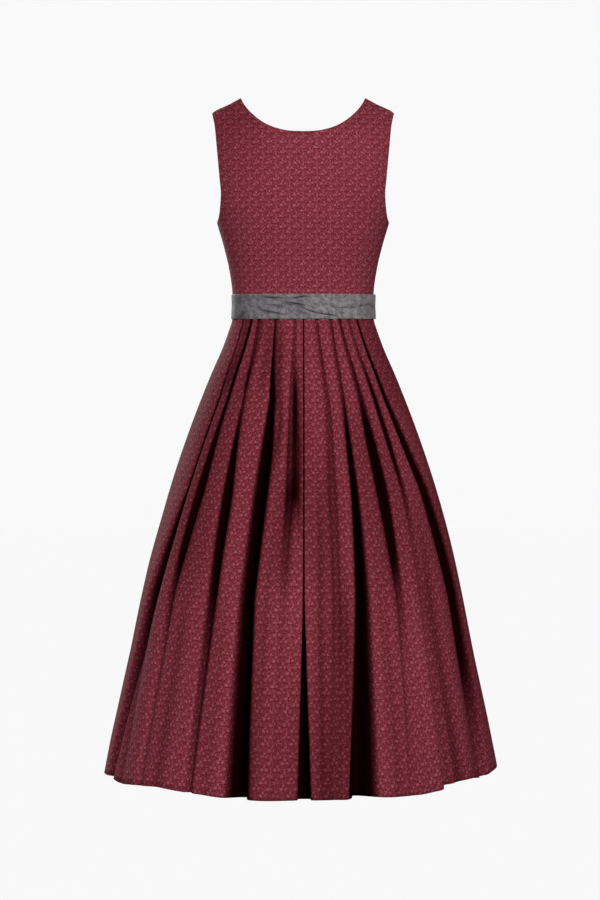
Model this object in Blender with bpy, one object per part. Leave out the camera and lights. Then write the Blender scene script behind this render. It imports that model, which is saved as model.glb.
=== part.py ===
"""A sleeveless dirndl in its worn, hollow shape, with the apron tied over it.

Metres, +Z up. The back of the dress faces -Y and the wearer would face +Y, with their right
hand side at +X. The origin is midway between the shoulders, at the height of the neck points.
"""
from collections import namedtuple
import math

import bmesh
import bpy
import numpy as np
from mathutils import Matrix, Vector
from mathutils.bvhtree import BVHTree

# Driving sizes
NECK_POINT_X = 0.1116
SHOULDER_TIP_X = 0.163
SHOULDER_DROP = 0.0285
BACK_NECK_DROP = 0.067
FRONT_NECK_DROP = 0.165
ARMPIT_Z = -0.223
WAIST_SEAM_Z = -0.3745
BAND_TOP_Z = -0.351
BAND_BOTTOM_Z = -0.399
HEM_Z = -1.21
APRON_HEM_Z = -1.15
SEAM_GAP = 0.0003
BODICE_WALL = 0.0016
SKIRT_WALL = 0.0012
BAND_WALL = 0.0015
TIE_WALL = 0.0012
APRON_WALL = 0.0012

# Horizontal sections of the worn form, neck to hem
Section = namedtuple("Section", "z half_width back_depth front_depth power")
FORM = [
    Section(0.000, 0.1116, 0.024, 0.024, 2.0),
    Section(-0.010, 0.1296, 0.032, 0.032, 2.0),
    Section(-SHOULDER_DROP, SHOULDER_TIP_X, 0.051, 0.050, 2.0),
    Section(-0.060, 0.1755, 0.083, 0.075, 2.1),
    Section(-0.100, 0.1800, 0.099, 0.092, 2.2),
    Section(-0.150, 0.1745, 0.107, 0.107, 2.2),
    Section(-0.190, 0.1640, 0.107, 0.115, 2.2),
    Section(ARMPIT_Z, 0.1543, 0.104, 0.118, 2.15),
    Section(-0.266, 0.1428, 0.098, 0.113, 2.1),
    Section(-0.310, 0.1325, 0.092, 0.101, 2.0),
    Section(BAND_TOP_Z, 0.1270, 0.0885, 0.0930, 2.0),
    Section(WAIST_SEAM_Z, 0.1262, 0.0875, 0.0915, 2.0),
    Section(BAND_BOTTOM_Z, 0.1275, 0.0890, 0.0930, 2.0),
    Section(-0.418, 0.1332, 0.0960, 0.0975, 2.0),
    Section(-0.450, 0.1448, 0.1075, 0.1070, 2.0),
    Section(-0.500, 0.1666, 0.1286, 0.1230, 2.0),
    Section(-0.600, 0.2056, 0.1666, 0.1550, 2.0),
    Section(-0.700, 0.2391, 0.1992, 0.1840, 2.0),
    Section(-0.800, 0.2668, 0.2261, 0.2090, 2.0),
    Section(-0.900, 0.2899, 0.2486, 0.2300, 2.0),
    Section(-1.000, 0.3105, 0.2686, 0.2500, 2.0),
    Section(-1.100, 0.3314, 0.2890, 0.2700, 2.0),
    Section(HEM_Z, 0.3530, 0.3100, 0.2900, 2.0),
]

# Edge of the back armhole, from the shoulder tip to the armpit; the front one is cut in further
Notch = namedtuple("Notch", "z back_x front_x")
ARMHOLE = [
    Notch(-SHOULDER_DROP, SHOULDER_TIP_X, SHOULDER_TIP_X),
    Notch(-0.055, 0.1590, 0.1560),
    Notch(-0.094, 0.1550, 0.1480),
    Notch(-0.148, 0.1500, 0.1420),
    Notch(-0.176, 0.1472, 0.1410),
    Notch(-0.201, 0.1488, 0.1440),
    Notch(-0.214, 0.1512, 0.1485),
    Notch(ARMPIT_Z, 0.1543, 0.1543),
]

# Neck edges from the neck point to the centre line: x and drop
Edge = namedtuple("Edge", "x drop")
BACK_NECK = [
    Edge(NECK_POINT_X, 0.0), Edge(0.1065, 0.0085), Edge(0.0990, 0.0195), Edge(0.0895, 0.0300),
    Edge(0.0770, 0.0420), Edge(0.0620, 0.0525), Edge(0.0430, 0.0605), Edge(0.0220, 0.0655),
    Edge(0.0, BACK_NECK_DROP),
]
FRONT_NECK = [
    Edge(NECK_POINT_X, 0.0), Edge(0.1110, 0.0220), Edge(0.1095, 0.0560), Edge(0.1040, 0.0920),
    Edge(0.0900, 0.1230), Edge(0.0650, 0.1470), Edge(0.0350, 0.1600), Edge(0.0, FRONT_NECK_DROP),
]

# Heights of the stations in the fold tables. places: the folded edge at each of them, in degrees from
# the centre. mouths and depths: the open trough below the waist, in millimetres, at all but the first.
# faces: 1 if the folded edge faces +X, -1 if it faces -X, 0 for an inverted pleat.
# lean: how far the cloth goes under at the waist; at open_z the pleat has stopped being pressed flat.
STATIONS = (-0.400, -0.540, -0.700, -0.880, HEM_Z)
Fold = namedtuple("Fold", "faces places lean open_z mouths depths")
BACK_FOLDS = [
    Fold(1, (-59.0, -56.0, -58.5, -73.0, -80.0), 0.012, -0.800, (6, 9, 28, 34), (10, 14, 24, 12)),
    Fold(1, (-47.5, -48.2, -52.8, -56.6, -57.0), 0.009, -0.720, (8, 16, 16, 24), (8, 18, 15, 5)),
    Fold(1, (-39.0, -36.0, -36.5, -36.4, -36.0), 0.009, -0.760, (8, 18, 16, 12), (12, 22, 24, 14)),
    Fold(1, (-23.5, -18.5, -20.8, -22.0, -22.2), 0.014, -0.660, (12, 20, 25, 34), (26, 50, 58, 64)),
    Fold(1, (-7.4, -8.0, -7.6, -8.5, -10.0), 0.006, -0.560, (10, 12, 11, 10), (5, 6, 3, 1)),
    Fold(0, (0.4, 0.4, 0.3, 0.2, 0.3), 0.006, HEM_Z, (1, 1, 4, 22), (6, 10, 16, 48)),
    Fold(-1, (12.0, 14.8, 14.5, 13.5, 11.0), 0.008, -0.720, (10, 14, 16, 24), (6, 8, 8, 6)),
    Fold(-1, (24.0, 23.6, 23.6, 23.4, 20.6), 0.008, -0.660, (9, 11, 24, 36), (11, 26, 48, 64)),
    Fold(-1, (32.0, 36.5, 38.5, 37.0, 35.0), 0.008, -0.620, (14, 22, 14, 24), (18, 24, 7, 3)),
    Fold(-1, (41.0, 46.3, 49.0, 49.5, 48.0), 0.009, -0.620, (9, 8, 18, 24), (11, 7, 8, 16)),
    Fold(-1, (51.0, 56.0, 67.5, 72.5, 63.0), 0.010, -0.640, (10, 24, 34, 30), (14, 24, 26, 12)),
]
FRONT_FOLDS = [
    Fold(1, (-62.0, -60.0, -61.0, -63.0, -64.0), 0.010, -0.780, (10, 16, 24, 34), (8, 14, 18, 12)),
    Fold(1, (-48.0, -46.0, -47.0, -48.0, -48.0), 0.011, -0.720, (9, 14, 20, 26), (12, 20, 26, 30)),
    Fold(1, (-33.0, -31.0, -30.0, -31.0, -32.0), 0.009, -0.760, (8, 12, 20, 32), (6, 10, 12, 8)),
    Fold(1, (-17.0, -16.0, -15.5, -16.0, -17.0), 0.011, -0.700, (9, 16, 20, 24), (14, 24, 30, 34)),
    Fold(0, (0.0, 0.0, 0.0, 0.0, 0.0), 0.007, -0.900, (3, 8, 14, 18), (6, 10, 20, 30)),
    Fold(-1, (15.0, 15.5, 16.5, 17.0, 18.0), 0.010, -0.740, (8, 12, 18, 28), (8, 12, 16, 12)),
    Fold(-1, (31.0, 30.0, 31.0, 33.0, 33.0), 0.011, -0.690, (10, 16, 20, 26), (14, 24, 30, 36)),
    Fold(-1, (47.0, 46.0, 47.0, 47.0, 49.0), 0.009, -0.800, (8, 12, 22, 34), (6, 10, 14, 10)),
    Fold(-1, (60.0, 61.0, 62.0, 65.0, 66.0), 0.010, -0.760, (10, 16, 26, 36), (8, 14, 20, 16)),
]
LAYER_PITCH = 0.0023
TURN = 0.0012
SKIRT_ROWS = (-0.3748, -0.401, -0.450, -0.505, -0.565, -0.635, -0.720, -0.840, -1.000, HEM_Z)

# Where the over-tie's free edge crosses the band, in degrees from centre back, and where it ends in front
TIE_TOP_ANGLE = -35.0
TIE_BOTTOM_ANGLE = 30.0
TIE_END_ANGLE = 165.0
BAND_STEP = 5.0
BAND_GAP = 0.0005
TIE_TIP_SHARE = 0.06

# The apron's skirt, gathered to its band over the front of the dress
APRON_HALF_ANGLE = 64.0
APRON_WAVES = 13
APRON_GAP = 0.0009
APRON_RISE_TOP = 0.0008
APRON_RISE_LOW = 0.0070

# The bow, a little to the wearer's left of centre front
BOW_X = -0.012
KNOT_SIZE = (0.026, 0.016, 0.040)
LOOP_LENGTH = 0.056
LOOP_OPENING = 0.010
LOOP_WALL = 0.0018
LOOP_ROOT_WIDTH = 0.024
LOOP_DROOP = 0.03
TAIL_ROOT_WIDTH = 0.021
TAIL_WIDTH = 0.046
TAIL_LENGTH = 0.340
LEFT_TAIL_SHARE = 0.92
TAIL_SPREAD = (0.0115, 0.048)
TAIL_LIFT = 0.0110
TAIL_CUP = 0.0012
KNOT_BEVEL = 0.0055

BUTTON_COUNT = 6
BUTTON_RADIUS = 0.0065
BUTTON_HEIGHT = 0.0030
BUTTON_X = 0.0095
BUTTON_TOP_Z = -0.184
BUTTON_BOTTOM_Z = -0.338

BACK = -1
FRONT = 1
# Share of a bodice panel's rows that lie on its centre line, and on its side seam
CENTRE_SHARE = {BACK: 0.61, FRONT: 0.45}
SIDE_SHARE = 0.36


def read(table, key, at, column):
    """Value of one column at a place between two rows, on a smooth curve that doesn't overshoot"""
    keys = [getattr(row, key) for row in table]
    values = [getattr(row, column) for row in table]
    if keys[0] > keys[-1]:
        keys, values = keys[::-1], values[::-1]
    at = min(max(at, keys[0]), keys[-1])
    i = min(max(int(np.searchsorted(keys, at)) - 1, 0), len(keys) - 2)
    steps = [(values[k + 1] - values[k]) / (keys[k + 1] - keys[k]) for k in range(len(keys) - 1)]

    def slope(k):
        if k == 0 or k == len(keys) - 1:
            return steps[0] if k == 0 else steps[-1]
        before, after = steps[k - 1], steps[k]
        return 0.0 if before * after <= 0 else 2 * before * after / (before + after)

    width = keys[i + 1] - keys[i]
    t = (at - keys[i]) / width
    return (values[i] * (2 * t ** 3 - 3 * t ** 2 + 1) + values[i + 1] * (3 * t ** 2 - 2 * t ** 3)
            + slope(i) * width * (t ** 3 - 2 * t ** 2 + t) + slope(i + 1) * width * (t ** 3 - t ** 2))


def form(z, column):
    return read(FORM, "z", z, column)


def form_depth(z, side):
    return form(z, "back_depth" if side == BACK else "front_depth")


def smooth(t):
    t = min(max(t, 0.0), 1.0)
    return t * t * (3 - 2 * t)


def mix(a, b, t):
    return a + (b - a) * t


class Outline:
    """Half of a horizontal section of the form, from the -X side seam to the +X one, along its arc"""

    def __init__(self, z, side, outward=0.0):
        self.z = z
        angles = np.radians(np.linspace(-90.0, 90.0, 361))
        power = 2.0 / form(z, "power")
        x = form(z, "half_width") * np.sign(np.sin(angles)) * np.abs(np.sin(angles)) ** power
        y = side * form_depth(z, side) * np.abs(np.cos(angles)) ** power
        tangent = np.stack([np.gradient(x), np.gradient(y)], axis=1)
        tangent /= np.linalg.norm(tangent, axis=1)[:, None]
        self.inward = np.stack([side * tangent[:, 1], -side * tangent[:, 0]], axis=1)
        self.x = x - outward * self.inward[:, 0]
        self.y = y - outward * self.inward[:, 1]
        steps = np.hypot(np.diff(self.x), np.diff(self.y))
        self.arcs = np.concatenate([[0.0], np.cumsum(steps)])
        self.degrees = np.degrees(angles)

    def arc(self, degrees):
        return float(np.interp(degrees, self.degrees, self.arcs))

    def place(self, arc, depth=0.0):
        """Point at an arc length, moved into the form by a depth"""
        x = np.interp(arc, self.arcs, self.x) + depth * np.interp(arc, self.arcs, self.inward[:, 0])
        y = np.interp(arc, self.arcs, self.y) + depth * np.interp(arc, self.arcs, self.inward[:, 1])
        return Vector((float(x), float(y), self.z))


def pressed_profile(lean):
    """A knife pleat pressed flat: (along, into the form), the folded edge at 0"""
    first, second = LAYER_PITCH, 2 * LAYER_PITCH
    return [(-5 * TURN, 0.0), (-TURN, 0.05 * first), (0.0, 0.5 * first), (-TURN, first),
            (TURN - lean, first), (-lean, 1.5 * first), (TURN - lean, second),
            (-0.5 * TURN, second), (2 * TURN, 0.95 * second), (5 * TURN, 0.15 * second)]


def open_profile(mouth, depth):
    """The same pleat fallen open: a rounded trough as wide as the mouth"""
    return [(-0.25 * mouth - 0.004, 0.0), (-0.08 * mouth - 0.0015, 0.03 * depth), (0.0, 0.16 * depth),
            (0.10 * mouth, 0.42 * depth), (0.30 * mouth, 0.88 * depth), (0.50 * mouth, depth),
            (0.70 * mouth, 0.88 * depth), (0.90 * mouth, 0.42 * depth), (mouth, 0.16 * depth),
            (1.10 * mouth + 0.003, 0.02 * depth)]


def pressed_inverted(lean):
    """Left half of an inverted pleat: its edge meets the other half's at 0"""
    first, second = LAYER_PITCH, 2 * LAYER_PITCH
    edge = -SKIRT_WALL
    return [(edge - 5 * TURN, 0.0), (edge - TURN, 0.05 * first), (edge, 0.5 * first),
            (edge - TURN, first), (edge + TURN - lean, first), (edge - lean, 1.5 * first),
            (edge + TURN - lean, second)]


def open_inverted(mouth, depth):
    return [(-0.75 * mouth - 0.004, 0.0), (-0.60 * mouth - 0.001, 0.03 * depth),
            (-0.50 * mouth, 0.12 * depth), (-0.52 * mouth, 0.40 * depth), (-0.60 * mouth, 0.80 * depth),
            (-0.48 * mouth, 0.95 * depth), (-0.25 * mouth, depth)]


def fold_points(fold, outline):
    """(arc, depth) of the cloth through one fold, in the order of the outline"""
    z = outline.z
    drops = [-station for station in STATIONS]
    edge = outline.arc(float(np.interp(-z, drops, fold.places)))
    mouth = 0.001 * float(np.interp(-z, drops[1:], fold.mouths))
    depth = 0.001 * float(np.interp(-z, drops[1:], fold.depths))
    opened = smooth((STATIONS[0] - z) / (STATIONS[0] - fold.open_z))
    if fold.faces == 0:
        pairs = zip(pressed_inverted(fold.lean), open_inverted(mouth, depth))
        half = [(mix(p[0], q[0], opened), mix(p[1], q[1], opened)) for p, q in pairs]
        middle = [(0.0, half[-1][1])]
        points = half + middle + [(-along, into) for along, into in reversed(half)]
        return [(edge + along, into) for along, into in points]
    pairs = zip(pressed_profile(fold.lean), open_profile(mouth, depth))
    points = [(mix(p[0], q[0], opened), mix(p[1], q[1], opened)) for p, q in pairs]
    if fold.faces < 0:
        points = [(-along, into) for along, into in reversed(points)]
    return [(edge + along, into) for along, into in points]


def skirt_row(z, side, folds):
    """One horizontal line of the skirt's cloth, with a point in the middle of each flat panel"""
    outline = Outline(z, side, outward=-0.5 * SKIRT_WALL)
    start, end = 0.5 * SEAM_GAP, outline.arcs[-1] - 0.5 * SEAM_GAP
    line = [(start, 0.0)]
    for fold in folds:
        points = fold_points(fold, outline)
        line.append((0.5 * (line[-1][0] + points[0][0]), 0.0))
        line += points
    line.append((0.5 * (line[-1][0] + end), 0.0))
    line.append((end, 0.0))
    return [outline.place(arc, depth) for arc, depth in line]


def material(name, colour, roughness):
    made = bpy.data.materials.new(name)
    made.use_nodes = True
    shader = made.node_tree.nodes["Principled BSDF"]
    shader.inputs["Base Color"].default_value = (*colour, 1.0)
    shader.inputs["Roughness"].default_value = roughness
    shader.inputs["Metallic"].default_value = 0.0
    return made


def add_object(name, mesh, finish):
    made = bpy.data.objects.new(name, mesh)
    bpy.context.scene.collection.objects.link(made)
    mesh.materials.append(finish)
    return made


def cloth(name, rows, wall, finish, offset=-1.0, ring=False):
    """A cloth wall from rows of points, top row first, seen from outside with columns left to right"""
    mesh = bpy.data.meshes.new(name)
    sheet = bmesh.new()
    grid = [[sheet.verts.new(point) for point in row] for row in rows]
    columns = len(rows[0])
    for upper, lower in zip(grid, grid[1:]):
        for i in range(columns if ring else columns - 1):
            j = (i + 1) % columns
            sheet.faces.new((upper[i], lower[i], lower[j], upper[j]))
    bmesh.ops.triangulate(sheet, faces=sheet.faces[:], quad_method="LONG_EDGE")
    sheet.to_mesh(mesh)
    sheet.free()
    mesh.shade_smooth()
    made = add_object(name, mesh, finish)
    thick = made.modifiers.new("wall", "SOLIDIFY")
    thick.thickness = wall
    thick.offset = offset
    thick.use_even_offset = True
    return made


def on_form(point, side):
    """The point moved level onto the form's surface"""
    power = form(point.z, "power")
    across = abs(point.x) / form(point.z, "half_width")
    deep = abs(point.y) / form_depth(point.z, side)
    reach = (across ** power + deep ** power) ** (1.0 / power)
    return Vector((point.x / reach, point.y / reach, point.z))


def inward_of(point):
    """Unit vector into the form, square to its surface, at a point on it"""
    side = BACK if point.y < 0 else FRONT

    def level(x, y, z):
        power = form(z, "power")
        return (abs(x) / form(z, "half_width")) ** power + (abs(y) / form_depth(z, side)) ** power

    step = 0.0004
    z = min(max(point.z, HEM_Z + step), -step)
    slope = Vector((level(point.x + step, point.y, z) - level(point.x - step, point.y, z),
                    level(point.x, point.y + step, z) - level(point.x, point.y - step, z),
                    level(point.x, point.y, z + step) - level(point.x, point.y, z - step)))
    if abs(point.y) < SEAM_GAP:
        slope.y = 0.0
    return -slope.normalized()


def form_point(x, z, side):
    power = form(z, "power")
    across = min(abs(x) / form(z, "half_width"), 1.0)
    return Vector((x, side * form_depth(z, side) * (1.0 - across ** power) ** (1.0 / power), z))


def blend_patch(bottom, top, left, right, side):
    """Rows, from the bottom up, of a four-sided panel between its edges, laid on the form"""
    rows = []
    for j in range(len(left)):
        v = j / (len(left) - 1)
        row = []
        for i in range(len(bottom)):
            u = i / (len(bottom) - 1)
            along = (1 - v) * bottom[i] + v * top[i]
            up = (1 - u) * left[j] + u * right[j]
            corners = ((1 - u) * (1 - v) * bottom[0] + u * (1 - v) * bottom[-1]
                       + (1 - u) * v * top[0] + u * v * top[-1])
            row.append(on_form(along + up - corners, side))
        rows.append(row)
    return rows


def spaced(count):
    return [i / (count - 1) for i in range(count)]


def shoulder_line(count, side):
    """From the shoulder tip to the neck point, on the form's ridge"""
    points = []
    for t in spaced(count):
        z = -SHOULDER_DROP * (1 - t)
        points.append(Vector((form(z, "half_width"), side * 0.5 * SEAM_GAP, z)))
    return points


def clear_of_seam(point, side):
    """Keeps a point on its own side of the side and shoulder seams"""
    if abs(point.y) < 0.5 * SEAM_GAP:
        point.y = side * 0.5 * SEAM_GAP
    return point


def evenly(points, count):
    """The same line with its points spread evenly along it"""
    lengths = np.concatenate([[0.0], np.cumsum([(q - p).length for p, q in zip(points, points[1:])])])
    line = []
    for t in spaced(count):
        at = t * lengths[-1]
        line.append(Vector([float(np.interp(at, lengths, [p[axis] for p in points])) for axis in range(3)]))
    return line


def neck_line(edges, count, side):
    """From the neck point to the centre line"""
    fine = []
    for t in spaced(80):
        at = t * (len(edges) - 1)
        i = min(int(at), len(edges) - 2)
        x = mix(edges[i].x, edges[i + 1].x, at - i)
        drop = mix(edges[i].drop, edges[i + 1].drop, at - i)
        fine.append(form_point(x, -drop, side))
    return [clear_of_seam(point, side) for point in evenly(fine, count)]


def side_line(count, side):
    """From the waist up the side seam and round the armhole to the shoulder tip"""
    armpit = round(SIDE_SHARE * (count - 1))
    line = []
    for t in spaced(armpit + 1):
        z = mix(WAIST_SEAM_Z, ARMPIT_Z, t)
        line.append(Vector((form(z, "half_width"), side * 0.5 * SEAM_GAP, z)))
    fine = []
    for t in spaced(120):
        z = mix(ARMPIT_Z, -SHOULDER_DROP, t)
        fine.append(form_point(read(ARMHOLE, "z", z, "back_x" if side == BACK else "front_x"), z, side))
    line += [clear_of_seam(point, side) for point in evenly(fine, count - armpit)[1:]]
    return line


def waist_line(start, end, count, side):
    """Along the waist between two angles from the centre, in degrees"""
    outline = Outline(WAIST_SEAM_Z, side)
    line = []
    for t in spaced(count):
        arc = mix(outline.arc(start), outline.arc(end), t)
        arc = min(max(arc, 0.5 * SEAM_GAP), outline.arcs[-1] - 0.5 * SEAM_GAP)
        line.append(outline.place(arc))
    return line


def mirrored(points):
    return [Vector((-p.x, p.y, p.z)) for p in points]


def bodice_half(side, centre_x, columns=9, rows=19):
    """Rows of the +X half of a bodice panel, from its centre and neck edge to its side and armhole"""
    neck = BACK_NECK if side == BACK else FRONT_NECK
    drop = neck[-1].drop
    corner = round(CENTRE_SHARE[side] * (rows - 1))
    inner = [form_point(centre_x, mix(WAIST_SEAM_Z, -drop, t), side) for t in spaced(corner + 1)]
    inner += neck_line(neck, rows - corner, side)[-2::-1]
    top = shoulder_line(columns, side)[::-1]
    bottom = waist_line(0.0, 90.0, columns, side)
    bottom[0] = inner[0]
    return blend_patch(bottom, top, inner, side_line(rows, side), side)


def add_grid(shape, rows, flip):
    """Faces over rows of points, from the bottom up; flip turns them over"""
    grid = [[shape.verts.new(point) for point in row] for row in rows]
    for lower, upper in zip(grid, grid[1:]):
        for i in range(len(lower) - 1):
            corners = (lower[i], lower[i + 1], upper[i + 1], upper[i])
            shape.faces.new(corners[::-1] if flip else corners)


def build_bodice(finish):
    """The panels' outer faces lie on the form; a copy moved inwards and joined at the rim is the inside"""
    back = bodice_half(BACK, 0.0)
    front = bodice_half(FRONT, 0.5 * SEAM_GAP)
    panels = {
        "bodice_back": [(back, False), ([mirrored(row) for row in back], True)],
        "bodice_front_right": [(front, True)],
        "bodice_front_left": [([mirrored(row) for row in front], False)],
    }
    for name, grids in panels.items():
        shape = bmesh.new()
        for rows, flip in grids:
            add_grid(shape, rows, flip)
        bmesh.ops.remove_doubles(shape, verts=shape.verts[:], dist=0.00005)
        bmesh.ops.triangulate(shape, faces=shape.faces[:], quad_method="SHORT_EDGE")
        rim = [edge for edge in shape.edges if edge.is_boundary]
        inner = {v: shape.verts.new(v.co + BODICE_WALL * inward_of(v.co)) for v in shape.verts[:]}
        for face in shape.faces[:]:
            shape.faces.new([inner[v] for v in reversed(face.verts)])
        for edge in rim:
            loop = edge.link_loops[0]
            near, far = loop.vert, loop.link_loop_next.vert
            shape.faces.new((far, near, inner[near], inner[far]))
        mesh = bpy.data.meshes.new(name)
        shape.to_mesh(mesh)
        shape.free()
        mesh.shade_smooth()
        add_object(name, mesh, finish)


def build_buttons(finish):
    """Domed buttons down the wearer's right front, each seated just outside its cloth"""
    panel = bpy.data.objects["bodice_front_right"].data
    faces = [face.vertices for face in panel.polygons]
    cloth_tree = BVHTree.FromPolygons([v.co for v in panel.vertices], faces)
    for i in range(BUTTON_COUNT):
        z = mix(BUTTON_TOP_Z, BUTTON_BOTTOM_Z, i / (BUTTON_COUNT - 1))
        seat, normal, _, _ = cloth_tree.ray_cast(Vector((BUTTON_X, 1.0, z)), Vector((0.0, -1.0, 0.0)))
        mesh = bpy.data.meshes.new(f"button_{i + 1}")
        shape = bmesh.new()
        profile = [(BUTTON_RADIUS, 0.0), (BUTTON_RADIUS, 0.4 * BUTTON_HEIGHT),
                   (0.75 * BUTTON_RADIUS, 0.85 * BUTTON_HEIGHT), (0.0, BUTTON_HEIGHT)]
        sides = 16
        rings = []
        for radius, height in profile[:-1]:
            rings.append([shape.verts.new((radius * math.cos(2 * math.pi * k / sides),
                                           radius * math.sin(2 * math.pi * k / sides), height))
                          for k in range(sides)])
        crown = shape.verts.new((0.0, 0.0, BUTTON_HEIGHT))
        shape.faces.new(rings[0][::-1])
        for lower, upper in zip(rings, rings[1:]):
            for k in range(sides):
                m = (k + 1) % sides
                shape.faces.new((lower[k], lower[m], upper[m], upper[k]))
        for k in range(sides):
            shape.faces.new((rings[-1][k], rings[-1][(k + 1) % sides], crown))
        shape.to_mesh(mesh)
        shape.free()
        mesh.shade_smooth()
        made = add_object(f"button_{i + 1}", mesh, finish)
        turn = Vector((0.0, 0.0, 1.0)).rotation_difference(normal).to_matrix().to_4x4()
        made.matrix_world = Matrix.Translation(seat + normal * 2 * SEAM_GAP) @ turn


def build_skirt(finish):
    back = [skirt_row(z, BACK, BACK_FOLDS) for z in SKIRT_ROWS]
    front = [skirt_row(z, FRONT, FRONT_FOLDS)[::-1] for z in SKIRT_ROWS]
    cloth("skirt_back", back, SKIRT_WALL, finish, offset=0.0)
    cloth("skirt_front", front, SKIRT_WALL, finish, offset=0.0)


def around(z, degrees, outward):
    """Point on the form at an angle from centre back, right round: 90 is the +X side, 180 the centre front"""
    side = BACK if abs(degrees) <= 90 else FRONT
    local = degrees if side == BACK else math.copysign(180, degrees) - degrees
    outline = Outline(z, side, outward)
    return outline.place(outline.arc(local))


def band_point(z, degrees, outward):
    """Point outside the band's own rows, at any height between them"""
    above, below = (BAND_TOP_Z, WAIST_SEAM_Z) if z > WAIST_SEAM_Z else (WAIST_SEAM_Z, BAND_BOTTOM_Z)
    share = (above - z) / (above - below)
    return around(above, degrees, outward).lerp(around(below, degrees, outward), share)


def build_band(finish):
    """The apron's band: a ring just outside the waist seam, with the crossing tie over it"""
    turns = round(360 / BAND_STEP)
    rows = []
    for z in (BAND_TOP_Z, WAIST_SEAM_Z, BAND_BOTTOM_Z):
        rows.append([around(z, BAND_STEP * i - 180, BAND_GAP) for i in range(turns)])
    cloth("apron_band", rows, BAND_WALL, finish, offset=1.0, ring=True)
    columns = round((TIE_END_ANGLE - TIE_TOP_ANGLE) / BAND_STEP) + 1
    rows = []
    for t in spaced(4):
        row = []
        for i in range(columns):
            angle = TIE_TOP_ANGLE + BAND_STEP * i
            reach = (angle - TIE_TOP_ANGLE) / (TIE_BOTTOM_ANGLE - TIE_TOP_ANGLE)
            low = mix(BAND_TOP_Z, BAND_BOTTOM_Z, min(mix(TIE_TIP_SHARE, 1.0, reach), 1.0))
            row.append(band_point(mix(BAND_TOP_Z, low, t), angle, BAND_GAP + BAND_WALL + SEAM_GAP))
        rows.append(row)
    cloth("tie_over", rows, TIE_WALL, finish, offset=1.0)


def apron_lift(z, t):
    """How far the gathered apron stands off the skirt front, t from 0 to 1 across it"""
    down = smooth((BAND_BOTTOM_Z - z) / 0.5)
    height = mix(APRON_RISE_TOP, APRON_RISE_LOW, down)
    warped = t + 0.018 * math.sin(2 * math.pi * 2.3 * t + 0.7)
    wave = 0.5 - 0.5 * math.cos(2 * math.pi * APRON_WAVES * warped)
    uneven = 0.75 + 0.25 * math.sin(2 * math.pi * 3.1 * t + 1.3)
    return height * wave * uneven


def build_apron(finish):
    rows = []
    columns = 4 * APRON_WAVES + 1
    heights = [z for z in SKIRT_ROWS if BAND_BOTTOM_Z - 0.01 > z > APRON_HEM_Z]
    for z in [BAND_BOTTOM_Z - 2 * SEAM_GAP] + heights + [APRON_HEM_Z]:
        outline = Outline(z, FRONT)
        start, end = outline.arc(-APRON_HALF_ANGLE), outline.arc(APRON_HALF_ANGLE)
        row = [outline.place(mix(start, end, t), -APRON_GAP - apron_lift(z, t)) for t in spaced(columns)]
        rows.append(row[::-1])
    cloth("apron_skirt", rows, APRON_WALL, finish, offset=1.0)


def strip_solid(name, outer, inner, finish):
    """A closed band of cloth from two matching grids of points, the outer face and the inner one"""
    mesh = bpy.data.meshes.new(name)
    shape = bmesh.new()
    grids = [[[shape.verts.new(p) for p in row] for row in grid] for grid in (outer, inner)]
    count, length = len(outer), len(outer[0])
    for face, flip in zip(grids, (False, True)):
        for upper, lower in zip(face, face[1:]):
            for i in range(length - 1):
                corners = (upper[i], lower[i], lower[i + 1], upper[i + 1])
                shape.faces.new(corners[::-1] if flip else corners)
    near, far = grids
    for i in range(length - 1):
        shape.faces.new((near[0][i], near[0][i + 1], far[0][i + 1], far[0][i]))
        shape.faces.new((near[-1][i + 1], near[-1][i], far[-1][i], far[-1][i + 1]))
    for j in range(count - 1):
        shape.faces.new((near[j + 1][0], near[j][0], far[j][0], far[j + 1][0]))
        shape.faces.new((near[j][-1], near[j + 1][-1], far[j + 1][-1], far[j][-1]))
    bmesh.ops.triangulate(shape, faces=shape.faces[:], quad_method="SHORT_EDGE")
    shape.to_mesh(mesh)
    shape.free()
    mesh.shade_smooth()
    return add_object(name, mesh, finish)


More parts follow.
